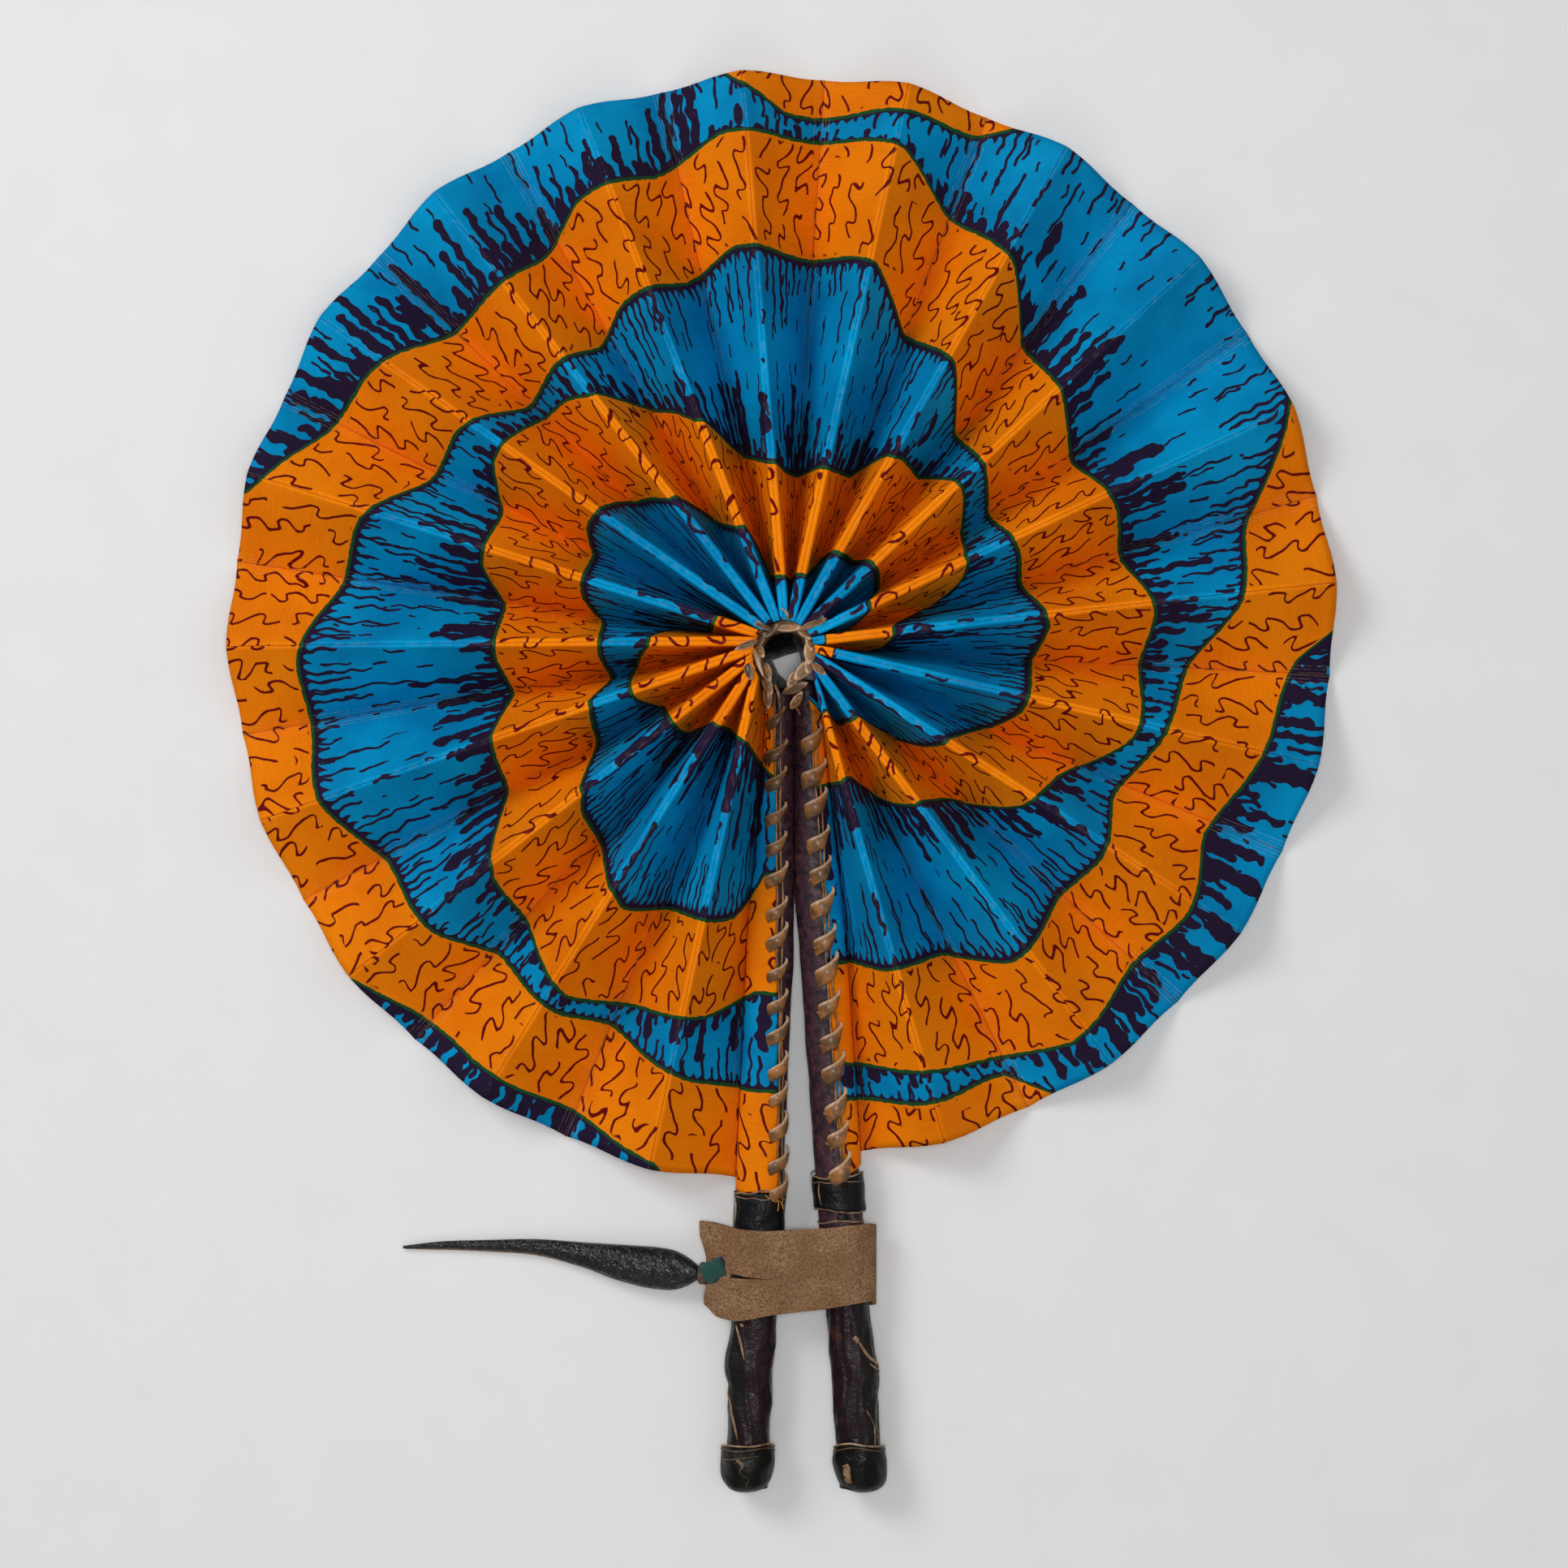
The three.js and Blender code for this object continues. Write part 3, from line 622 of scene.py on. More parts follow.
def makePrint():
    look = printLook
    material, tree, shader = newMaterial("printedCotton", Specular_IOR_Level=0.06)
    place = attribute(tree, "clothPlace", "Vector")
    across = place.part("X")
    along = place.part("Y")
    depth = attribute(tree, "blueDepth")
    fromOuter = attribute(tree, "fromOuter")
    fromInner = attribute(tree, "fromInner")
    tremble = (noise(joinXyz(across, along, 0.0), 0.35, 2.0) - 0.5) * 1.1
    edge = depth + tremble
    bandWidth = (fromOuter + fromInner).most(2.0)
    scale = (bandWidth / 45.0).least(1.0).most(0.12)

    tint = noise(joinXyz(across * 0.03, along * 0.03, 1.0), 1.0, 3.0)
    lines = squiggles(across, along, look["squiggleSpacing"], look["squiggleHalfWidth"])
    lines = lines * edge.step(-1.2, -2.2)
    orange = layered(look["orange"], (tint.step(0.35, 0.75), look["orangeDeep"]), (lines, look["maroon"]))

    belt = scale.most(0.5)
    # the border they hang on, spacing, half width, reach, base, loose share, seed, swelling
    ink = None
    for fromBorder, *form in (
        (fromInner, 6.4, 1.9, scale * 34.0, belt * 1.5, 0.0, 3.0, 1.6),
        (fromInner, 4.9, 0.9, scale * 28.0, -1.0, 0.2, 23.0, 1.4),
        (fromInner, 11.0, scale * 1.6 + 0.9, scale * 30.0, -1.0, 0.15, 41.0, 1.8),
        (fromOuter, 4.5, 0.72, scale * 30.0, belt * 2.3, 0.1, 57.0, 1.0),
        (fromOuter, 8.3, 0.6, scale * 46.0, 0.8, 0.5, 71.0, 1.0),
    ):
        kind = drops(across, along, fromBorder, *form)
        ink = kind if ink is None else ink.least(kind)
    spare = dashes(across, along, 6.5, 15.0, 83.0) + (depth - scale * 5.0).step(2.0, 0.0) * 9.0
    spare = spare + (bandWidth - 26.0).step(8.0, 0.0) * 9.0
    ink = ink.least(spare).step(0.14, -0.14)
    blue = layered(look["blue"], (tint.step(0.3, 0.7), look["blueDeep"]), (ink, look["dark"]))
    border = abs(edge + 0.2).step(0.72, 0.46)

    climb = attribute(tree, "climb")
    fromValley = climb * leaf["panelWidth"]
    fromRidge = (1.0 - climb) * leaf["panelWidth"]
    pleats = abs((fromValley / 1.4).fraction() - 0.5).step(0.16, 0.04) * fromValley.step(4.6, 3.4)
    fray = noise(joinXyz(across * 0.6, along * 0.35, 15.0), 1.0, 3.0)
    pressed = fromValley.step(0.45, 0.1) * fray.step(0.4, 0.62) * look["paleValley"]
    rubbed = fromRidge.step(0.9, 0.1) * fray.step(0.45, 0.7) * look["paleRidge"]
    pleats = pleats * fray.step(0.35, 0.6)
    worn = pressed.most(rubbed).most(pleats * look["palePleats"])
    cloth = layered(orange, (edge.step(-0.12, 0.12), blue), (border, look["green"]), (worn, look["pale"]))
    threads = useGroup(tree, weave, Place=place, Pitch=look["threadPitch"])
    # a painted highlight along each ridge top, broken by noise and fading towards the rim
    ridgeHighlight = fromRidge.step(1.45, 1.2) * fray.step(0.2, 0.45) * (1.0 - attribute(tree, "outShare") * 0.8)
    cloth = cloth * ((threads["Thread"] - 0.5) * look["threads"] + 1.0 + ridgeHighlight * look["ridgeHighlight"])
    feed(tree, cloth, shader.inputs["Base Color"])
    feed(tree, threads["Height"].step(0.0, 1.0, 0.82, 0.7), shader.inputs["Roughness"])
    bump(tree, shader, threads["Height"] + pleats * 1.5, 0.3, 0.0001)
    return material


printedCotton = makePrint()


# The leaf's panels
# Each point of a panel lies between its valley and its ridge. The cloth runs straight up from the
# valley and rolls over at the top, so that both sides of a ridge meet level.
def makePleatForm():
    inputs = {**dict.fromkeys(leaf["form"], "Float"), "Cloth": "Material"}
    tree, given, leave = newFormTree("pleatForm", inputs)
    valley = named(tree, "valleySpot")
    ridge = named(tree, "ridgeSpot")
    climb = named(tree, "climb", "FLOAT")
    out = named(tree, "outShare", "FLOAT")
    reach = ridge - valley
    flat = reach * (1.0, 1.0, 0.0)
    whole = flat.length()
    across = flat / whole.most(1e-6)
    height = reach.part("Z")
    level = (given["Ridge Flat"] * (1.0 - out * 0.7)).least(whole * 0.4)
    run = whole - level
    radius = given["Ridge Radius"].least(run * 0.92)
    centreHeight = height - radius
    centreGap = (run * run + centreHeight * centreHeight).maths("SQRT")
    slope = centreHeight.maths("ARCTAN2", run) + (radius / centreGap).maths("ARCSINE")
    straight = (centreGap * centreGap - radius * radius).maths("SQRT")
    arc = radius * slope
    done = climb * (straight + arc + level)
    onStraight = done.least(straight) - straight
    angle = slope - (done - straight).most(0.0).least(arc) / radius
    x = onStraight * slope.cos() + run - radius * angle.sin() + (done - straight - arc).most(0.0)
    z = onStraight * slope.sin() + centreHeight + radius * angle.cos()
    place = named(tree, "ripplePlace") * 0.001
    wobble = noise(place / given["Ripple Length"], 1.0, 1.0) - 0.5
    lift = wobble * given["Ripple Height"] * (climb * math.pi).sin() * named(tree, "slack", "FLOAT")
    x = x - lift * angle.sin()
    z = z + lift * angle.cos()
    outward = (valley * (1.0, 1.0, 0.0)).vectorMaths("NORMALIZE")
    wave = (climb * (2 * math.pi)).sin() * out * out * given["Rim Wave"] * -1.0
    spot = valley + across * x + joinXyz(0.0, 0.0, z) + outward * wave
    moved = addNode(tree, "GeometryNodeSetPosition", 0, {"Geometry": given["Geometry"], "Position": spot})
    endFormTree(tree, leave, moved, given["Cloth"])
    return tree


pleatForm = makePleatForm()


def makePanels():
    share = np.linspace(0, 1, leaf["rows"])
    columns = np.array(leaf["across"])
    total = leaf["creases"]
    for k in range(total):
        first = creasePoints(k, share)
        second = creasePoints(k + 1, share)
        ridgeFirst = k % 2 == 1
        valley, ridge = (second, first) if ridgeFirst else (first, second)
        climb = columns if ridgeFirst else columns[::-1]
        rows = lerp(valley[:, None], ridge[:, None], climb[None, :, None])
        climb = np.tile(climb, len(share))
        mesh = gridMesh(f"panel_{k + 1:02d}", rows)
        repeat = len(columns)
        out = np.repeat(share, repeat)
        slack = smoothstep(out, 0.08, 0.5)
        alongMm = np.repeat(np.linalg.norm(first - first[0], axis=1), repeat)
        drift = np.full(len(climb), leaf["rippleDrift"] * k)
        addAttributes(
            mesh,
            valleySpot=np.repeat(inRow(valley), repeat, 0),
            ridgeSpot=np.repeat(inRow(ridge), repeat, 0),
            climb=climb,
            outShare=out,
            # neighbours ripple alike, one up and one down, so that they nest when the fan closes
            slack=slack if ridgeFirst else -slack,
            ripplePlace=np.column_stack([alongMm, leaf["panelWidth"] * climb, drift]),
        )
        a = 1 - climb if ridgeFirst else climb
        acrossMm = leaf["panelWidth"] * (k + a)
        markPrint(mesh, acrossMm, alongMm, a)
        piece = newObject(mesh.name, mesh, printedCotton)
        form = {label: value * mm for label, value in leaf["form"].items()}
        addForm(piece, pleatForm, {**form, "Cloth": printedCotton})
        thicken(piece, leaf["thickness"])
        settle(piece)
        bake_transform(piece)
        if k:
            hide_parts(creaseBody(k))
    print(f"leaf: {total} panels")


# The cloth over the sticks
flap = {"lift": 0.75, "over": 16, "down": 5, "rows": 90, "scallop": 0.05, "scallopRate": 0.58}


# A point on a stick's skin at an angle from its outer side, lifted off it
def onStick(stick, t, angle, lift):
    x, y, z = stickAxis(stick, t)
    width, height = stickHalves(t)
    out = stick["side"] * (width + lift) * np.cos(angle)
    return np.stack(np.broadcast_arrays(x + out, y, z + (height + lift) * np.sin(angle)), -1)


def laceX(stick, t):
    start = stickForm["start"]
    return lerp(stick["laceHeadX"], stick["laceFootX"], (t - start) / (stick["flapEnd"] - start))


def laceAngle(stick, t):
    outward = stick["side"] * (laceX(stick, t) - stickAxis(stick, t)[0])
    return np.arccos(outward / (stickHalves(t)[0] + 0.3))


def makeFlap(word):
    stick = sticks[word]
    crease = 0 if word == "left" else leaf["creases"]
    share = np.linspace(0, 1, flap["rows"])[:, None]
    over = np.linspace(0, 1, flap["over"])[None, :]
    t = lerp(leaf["start"], lerp(stick["flapEnd"], stick["flapSide"], over), share)
    edge = laceAngle(stick, t) + flap["scallop"] * np.sin(t * flap["scallopRate"]) * (1 - over) ** 4
    top = onStick(stick, t, lerp(edge, 0, over), flap["lift"])
    foot = creasePoints(crease, share[:, 0])
    down = np.linspace(0, 1, flap["down"] + 1)[None, 1:, None]
    side = lerp(top[:, -1:], foot[:, None], down)
    rows = np.concatenate([top, side], 1)
    steps = np.linalg.norm(np.diff(rows, axis=1), axis=2)
    fromLace = np.concatenate([np.zeros((len(rows), 1)), np.cumsum(steps, 1)], 1)
    reach = fromLace[:, -1:] - fromLace
    along = np.repeat(t[:, -1:] - leaf["start"], rows.shape[1], 1)
    across = -reach if crease == 0 else reach + leaf["panelWidth"] * leaf["creases"]
    if word == "right":
        rows, across = rows[:, ::-1], across[:, ::-1]
    mesh = gridMesh(f"{word}_flap", rows)
    markPrint(mesh, across.ravel(), along.ravel(), np.full(across.size, 0.5))
    addAttributes(mesh, climb=np.full(across.size, 0.5))
    piece = newObject(mesh.name, mesh, printedCotton)
    thicken(piece, leaf["thickness"])
    settle(piece)
    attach(piece, f"{word}_stick")
    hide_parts(f"{word}_end_panel")


# Leather, thong, suede, knit, thread and wood
def makeGrain():
    inputs = {"Place": "Vector", "Pebble": "Float", "Crease": "Float"}
    outputs = dict.fromkeys(("Pebbles", "Creases", "Rub", "Tone"), "Float")
    tree, given, leave = newGroup("leatherGrain", "ShaderNodeTree", inputs, outputs)
    place = given["Place"]
    warp = noise(place, 0.35, 2.0, colour=True)
    domes = cells(place / given["Pebble"])
    feed(tree, domes.step(0.7, 0.05), leave.inputs["Pebbles"])
    folds = place * (1.0, 0.4, 1.0) / given["Crease"] + warp * 0.9
    edges = cells(folds, "DISTANCE_TO_EDGE")
    feed(tree, edges.step(0.0, 0.16), leave.inputs["Creases"])
    feed(tree, noise(place, 0.11, 4.0, 0.62), leave.inputs["Rub"])
    feed(tree, noise(place, 0.4, 3.0), leave.inputs["Tone"])
    return tree


grain = makeGrain()

# Colours of its body, its hollows and where it is rubbed, how seldom it is rubbed, sizes of pebbles
# and creases, least and most roughness, relief, specular level
leatherLooks = {
    "purpleLeather": ((74, 44, 52), (34, 20, 28), (104, 62, 46), 0.6, 0.55, 7.5, (0.32, 0.55), 0.22, 0.25),
    "handleLeather": ((42, 18, 26), (15, 7, 12), (78, 38, 24), 0.56, 0.5, 9.0, (0.24, 0.46), 0.3, 0.24),
    "blackLeather": ((11, 11, 14), (5, 5, 7), (62, 46, 34), 0.74, 0.7, 6.5, (0.28, 0.5), 0.28, 0.2),
    "capLeather": ((13, 12, 9), (5, 5, 4), (66, 44, 28), 0.66, 0.6, 8.0, (0.26, 0.46), 0.3, 0.2),
    "pebbledLeather": ((20, 20, 23), (5, 5, 7), (70, 54, 42), 0.74, 1.05, 9.0, (0.22, 0.38), 0.75, 0.5),
    "rawEdge": ((160, 128, 98), (112, 82, 58), (196, 170, 142), 0.5, 0.4, 2.5, (0.5, 0.75), 0.4, 0.25),
    "dullEdge": ((104, 84, 66), (66, 50, 38), (134, 112, 92), 0.5, 0.4, 2.5, (0.5, 0.75), 0.4, 0.2),
}
blackened = colour(13, 16, 13)  # the blackened sides of the handles


def makeLeather(name, body, deep, rubbed, rubbedFrom, pebble, crease, gloss, relief, specular):
    material, tree, shader = newMaterial(name, Specular_IOR_Level=specular)
    body, deep, rubbed = colour(*body), colour(*deep), colour(*rubbed)
    parts = useGroup(tree, grain, Place=objectPlace(tree), Pebble=pebble, Crease=crease)
    body = layered(
        body,
        (parts["Tone"].step(0.35, 0.7), deep),
        (parts["Creases"].step(0.5, 0.0) * 0.5, deep),
        (parts["Rub"].step(rubbedFrom, rubbedFrom + 0.14) * 0.75, rubbed),
    )
    if name == "handleLeather":
        body = layered(body, (attribute(tree, "blackened") * 0.9, blackened))
    feed(tree, body, shader.inputs["Base Color"])
    feed(tree, parts["Tone"].step(0.3, 0.7, *gloss), shader.inputs["Roughness"])
    bump(tree, shader, parts["Pebbles"] * 0.35 + parts["Creases"], relief, 0.0004)
    return material


leathers = {name: makeLeather(name, *look) for name, look in leatherLooks.items()}

thongLook = {
    "tan": colour(170, 112, 56),
    "olive": colour(116, 80, 38),
    "dark": colour(52, 38, 24),
    "pale": colour(206, 172, 138),
}


def makeThong():
    look = thongLook
    sockets = {"Specular_IOR_Level": 0.45, "Coat_Weight": 0.15, "Coat_Roughness": 0.15}
    material, tree, shader = newMaterial("thong", **sockets)
    place = objectPlace(tree)
    tone = noise(place, 0.22, 3.0)
    streak = noise(place * (1.0, 0.35, 1.0), 1.4, 3.0)
    # shade darkens a piece and dims its pale edges: painted shade on the lacing near the hub and on the
    # ring's core, the scales' own tone on the ring; below zero it turns pale
    shade = attribute(tree, "shade")
    rawEdge = attribute(tree, "rawEdge")
    hollow = (abs(rawEdge) * -1.0).step(-0.5, 0.0) * tone.step(0.3, 0.5)
    pale = (rawEdge + (streak - 0.5) * 0.5).step(0.5, 0.85) * (1.0 - shade.most(0.0) * 0.45)
    body = layered(
        look["tan"],
        (tone.step(0.4, 0.62), look["olive"]),
        (streak.step(0.5, 0.78) * 0.7, look["dark"]),
        (shade * 0.85, look["dark"]),
        (hollow * 0.25, look["dark"]),
        (pale * 0.85, look["pale"]),
        (shade.step(0.0, -0.5), look["pale"]),
    )
    feed(tree, body, shader.inputs["Base Color"])
    feed(tree, streak.step(0.3, 0.7, 0.28, 0.5), shader.inputs["Roughness"])
    bump(tree, shader, streak, 0.35, 0.0003)
    return material


thong = makeThong()

suedeLook = {
    "tan": colour(142, 108, 78),
    "brown": colour(108, 76, 52),
    "dark": colour(78, 52, 34),
    "pale": colour(164, 130, 98),
}


def makeSuede():
    look = suedeLook
    material, tree, shader = newMaterial("suede", Roughness=0.95, Specular_IOR_Level=0.1)
    place = objectPlace(tree)
    broad = noise(place, 0.09, 2.0)
    nap = noise(place, 1.5, 3.0, 0.6, 0.2)
    fine = noise(place, 3.6, 2.0, 0.7)
    body = layered(
        look["tan"],
        (broad.step(0.35, 0.65), look["pale"]),
        (nap.step(0.36, 0.6) * 0.8, look["brown"]),
        (nap.step(0.54, 0.7) * 0.6, look["dark"]),
        (fine.step(0.5, 0.7) * 0.35, look["pale"]),
    )
    feed(tree, body, shader.inputs["Base Color"])
    bump(tree, shader, nap * 0.6 + fine * 0.4, 0.5, 0.0003)
    return material


suede = makeSuede()


def makeKnit():
    material, tree, shader = newMaterial("knit", Roughness=0.85, Sheen_Weight=0.2)
    place = objectPlace(tree)
    flat = joinXyz(place.part("X"), place.part("Y"), 0.0)
    flat = flat + noise(place, 0.6, 2.0, colour=True) * 0.5
    threads = useGroup(tree, weave, Place=flat, Pitch=0.75)
    body = layered(colour(0, 26, 28), (threads["Height"], colour(4, 88, 80)))
    feed(tree, body, shader.inputs["Base Color"])
    bump(tree, shader, threads["Height"], 0.8, 0.0003)
    return material


knit = makeKnit()


def makeFrayedThread():
    material, tree, shader = newMaterial("frayedThread", Roughness=0.8)
    twist = noise(objectPlace(tree), 1.6, 2.0)
    body = layered(colour(196, 120, 20), (twist, colour(224, 176, 84)))
    feed(tree, body, shader.inputs["Base Color"])
    return material


frayedThread = makeFrayedThread()


def makeWood():
    material, tree, shader = newMaterial("wood", Roughness=0.6)
    place = objectPlace(tree)
    rings = noise(place * (1.0, 0.06, 1.0), 0.9, 3.0)
    body = layered(colour(120, 84, 52), (rings, colour(176, 134, 90)))
    feed(tree, body, shader.inputs["Base Color"])
    bump(tree, shader, rings, 0.3, 0.0003)
    return material


wood = makeWood()


# Shapes that several pieces use
# Smooth unevenness between -1 and 1, the same each run
def uneven(points, size, seed):
    count = 9
    draw = np.random.default_rng(seed)
    facing = draw.normal(size=(count, 3))
    facing /= np.linalg.norm(facing, axis=1)[:, None]
    waves = np.asarray(points, float) @ (facing / size * 2 * math.pi * draw.uniform(0.6, 1.5, (count, 1))).T
    return np.sin(waves + draw.uniform(0, 6.3, count)).sum(-1) / math.sqrt(count)


# Closes a skin of rings, each a row of points; poles shut its ends, or looped joins last to first
def skinMesh(name, rings, poles=True, looped=False):
    rings = np.asarray(rings, float)
    count, sides = rings.shape[:2]
    points = rings.reshape(-1, 3)
    index = np.arange(count * sides).reshape(count, sides)
    around = np.roll(index, -1, 1)
    if looped:
        after, afterAround = np.roll(index, -1, 0), np.roll(around, -1, 0)
    else:
        index, around, after, afterAround = index[:-1], around[:-1], index[1:], around[1:]
    faces = np.stack([index, around, afterAround, after], -1).reshape(-1, 4).tolist()
    if poles and not looped:
        points = np.vstack([points, rings[0].mean(0), rings[-1].mean(0)])
        low, high = len(points) - 2, len(points) - 1
        last = (count - 1) * sides
        for j in range(sides):
            following = (j + 1) % sides
            faces.append((following, j, low))
            faces.append((last + j, last + following, high))
    mesh = bpy.data.meshes.new(name)
    mesh.from_pydata(inRow(points), [], faces)
    tidyNormals(mesh)
    return mesh


def tidyNormals(mesh):
    form = bmesh.new()
    form.from_mesh(mesh)
    bmesh.ops.remove_doubles(form, verts=form.verts, dist=1e-6)
    bmesh.ops.recalc_face_normals(form, faces=form.faces)
    form.to_mesh(mesh)
    form.free()
    mesh.shade_smooth()


# A closed strand along a path, wide across it and thick away from what it lies on
def strandRings(path, wide, thick, up=(0, 0, 1), sides=10):
    path = np.asarray(path, float)
    along = np.gradient(path, axis=0)
    along /= np.linalg.norm(along, axis=1)[:, None]
    up = np.broadcast_to(np.asarray(up, float), path.shape)
    across = np.cross(along, up)
    across /= np.linalg.norm(across, axis=1)[:, None]
    lift = np.cross(across, along)
    wide = np.broadcast_to(wide, len(path))[:, None, None]
    thick = np.broadcast_to(thick, len(path))[:, None, None]
    turn = np.linspace(0, 2 * math.pi, sides, endpoint=False)[None, :, None]
    return path[:, None] + across[:, None] * np.cos(turn) * wide + lift[:, None] * np.sin(turn) * thick


def strandMesh(name, path, wide, thick, up=(0, 0, 1), sides=10):
    return skinMesh(name, strandRings(path, wide, thick, up, sides))


def joinMeshes(name, meshes):
    form = bmesh.new()
    for mesh in meshes:
        form.from_mesh(mesh)
        bpy.data.meshes.remove(mesh)
    joined = bpy.data.meshes.new(name)
    form.to_mesh(joined)
    form.free()
    joined.shade_smooth()
    return joined


def smoothPath(points, count):
    points = np.asarray(points, float)
    places = np.linspace(0, len(points) - 1, count)
    knots = [list(enumerate(points[:, i])) for i in range(3)]
    return np.column_stack([smoothCurve(knot, places) for knot in knots])


def assign(piece, body, slot, *nodes):
    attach(piece, body)
    if nodes:
        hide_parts(*nodes)


def addPiece(mesh, material, body, slot, *nodes):
    assign(newObject(mesh.name, mesh, material), body, slot, *nodes)


# The sticks: leather sleeves, collars, handle wraps and end caps
cover = {
    "start": {"left": 10.6, "right": 8.8},
    "end": 200.2,
    "wall": 1.1,
    "lumps": 0.18,
    # the sticks lean on each other as far as leanEnd
    "meetX": 3.5,
    "leanEnd": 78,
    "apart": 100,
}
collars = {
    "left": {"start": 182.6, "end": 196.7, "lift": 1.1, "tilt": 0.5},
    "right": {"start": 177.0, "end": 189.0, "lift": 1.1, "tilt": -0.7},
}
handle = {
    "start": 200.5, "end": 269.3, "wall": 1.1, "bulge": 1.5, "bulgeReach": 9,
    "bulgeAt": {"left": 241, "right": 243}, "waistAt": {"left": 249, "right": 252}, "folds": 0.4,
    "lumps": 0.28, "waistReach": 2.2, "waistDepth": 0.45,
}
endCap = {"start": 269.6, "finish": 285.6, "half": 9.3, "wall": 1.6, "lip": 0.94, "wave": 0.35, "lean": 1.7}
unevenSeeds = {"left": 3, "right": 17}


# A sleeve with a wall; lift(points, t, angle) is how far its skin stands off the stick's own
def sleeveMesh(name, stick, starts, ends, inner, lift, steps, sides=48, shut=False):
    angle = np.linspace(0, 2 * math.pi, sides, endpoint=False)[None, :]
    share = np.linspace(0, 1, steps)[:, None]
    t = lerp(starts(angle), ends(angle), share)
    angles = np.broadcast_to(angle, t.shape)
    bare = onStick(stick, t, angles, 0)
    outer = onStick(stick, t, angles, lift(bare, t, angle))
    inside = onStick(stick, t, angles, inner)
    fromEnd = np.minimum(share, 1 - share) * steps
    skin = lerp(inside, outer, np.clip(0.62 + 0.38 * fromEnd, 0, 1)[..., None])
    if not shut:
        return skinMesh(name, np.concatenate([skin, inside[::-1]]), looped=True)
    middle = skin[:1].mean(1, keepdims=True)
    dome = [lerp(middle, skin[:1], s) + (0, 1.6 * math.sqrt(1 - s * s), 0) for s in (0.12, 0.5, 0.85)]
    backs = [lerp(middle, inside[:1], s) for s in (0.12, 0.5, 0.85)]
    return skinMesh(name, np.concatenate([*dome, skin, inside[::-1], *backs[::-1]]))


# A strand round a closed path
def loopMesh(name, path, wide, thick, up):
    count = len(path)
    around = np.vstack([path[-2:], path, path[:2]])
    up = np.vstack([up[-2:], up, up[:2]])
    rings = strandRings(around, wide, thick, up, 8)[2 : count + 2]
    return skinMesh(name, rings, looped=True)


# A raw edge of leather round a stick, on a skin that stands off by lift
def edgeLoop(name, word, t, lift, wave, half, seed):
    angle = np.linspace(0, 2 * math.pi, 120, endpoint=False)
    path = onStick(sticks[word], t + wave * np.sin(2 * angle + seed), angle, lift)
    path[:, 1] += 0.25 * uneven(path, 6, seed)
    level = t + 0 * angle
    out = onStick(sticks[word], level, angle, 3) - onStick(sticks[word], level, angle, 0)
    mesh = loopMesh(name, path, half, half * 0.8, out)
    addPiece(mesh, leathers["rawEdge"], f"{word}_stick", "thong")


def wrapLift(word, points, t, angle):
    seed = unevenSeeds[word]
    outward = np.clip(np.cos(angle), 0, 1) ** 1.3
    swell = np.exp(-(((t - handle["bulgeAt"][word]) / handle["bulgeReach"]) ** 2)) * handle["bulge"]
    waist = np.exp(-(((t - handle["waistAt"][word]) / handle["waistReach"]) ** 2)) * handle["waistDepth"]
    folds = np.abs(uneven(points * (1.0, 0.22, 1.0), 5.5, seed + 5)) ** 0.8 * handle["folds"]
    lumps = uneven(points, 17, seed + 6) * handle["lumps"]
    return (swell - waist) * outward - folds + lumps - 0.05


def coverLift(word, points, t, angle):
    stick = sticks[word]
    lumps = cover["lumps"] * (uneven(points, 22, unevenSeeds[word]) - 0.6)
    need = stick["side"] * (stickAxis(stick, t)[0] - cover["meetX"]) - stickHalves(t)[0] - 0.03
    share = np.clip(-np.cos(angle), 0, 1) ** 1.5 * (1 - smoothstep(t, cover["leanEnd"], cover["apart"]))
    return lerp(lumps, need, share)


def levelEnd(t):
    return lambda angle: t + 0 * angle


def makeStick(word):
    stick = sticks[word]
    body = f"{word}_stick"
    seed = unevenSeeds[word]
    mesh = sleeveMesh(
        f"{word}_cover", stick, levelEnd(cover["start"][word]), levelEnd(cover["end"]), -cover["wall"],
        partial(coverLift, word), 150, shut=True,
    )
    addPiece(mesh, leathers["purpleLeather"], body, "purple_leather", f"{word}_stick_cover")

    band = collars[word]
    mesh = sleeveMesh(
        f"{word}_band",
        stick,
        lambda a: band["start"] + band["tilt"] * np.cos(a) + 0.2 * np.sin(2 * a + seed),
        lambda a: band["end"] - band["tilt"] * np.cos(a) + 0.2 * np.sin(3 * a + seed),
        0.32,
        lambda points, t, angle: band["lift"] + 0.12 * uneven(points, 9, seed + 1),
        24,
        64,
    )
    addPiece(mesh, leathers["blackLeather"], body, "black_leather", f"{word}_collar")

    mesh = sleeveMesh(
        f"{word}_wrap", stick, levelEnd(handle["start"]), levelEnd(handle["end"]), -handle["wall"],
        partial(wrapLift, word), 200, 96,
    )
    spots = meshSpots(mesh)
    axisX = stickAxis(stick, -spots[:, 1])[0]
    outward = stick["side"] * (spots[:, 0] - axisX) / stickHalves(-spots[:, 1])[0]
    outward = outward + 0.16 * uneven(spots, 12, seed + 7)
    addAttributes(mesh, blackened=smoothstep(outward, 0.25, 0.75))
    addPiece(mesh, leathers["handleLeather"], body, "purple_leather", f"{word}_handle_wrap")
    makeCap(word)


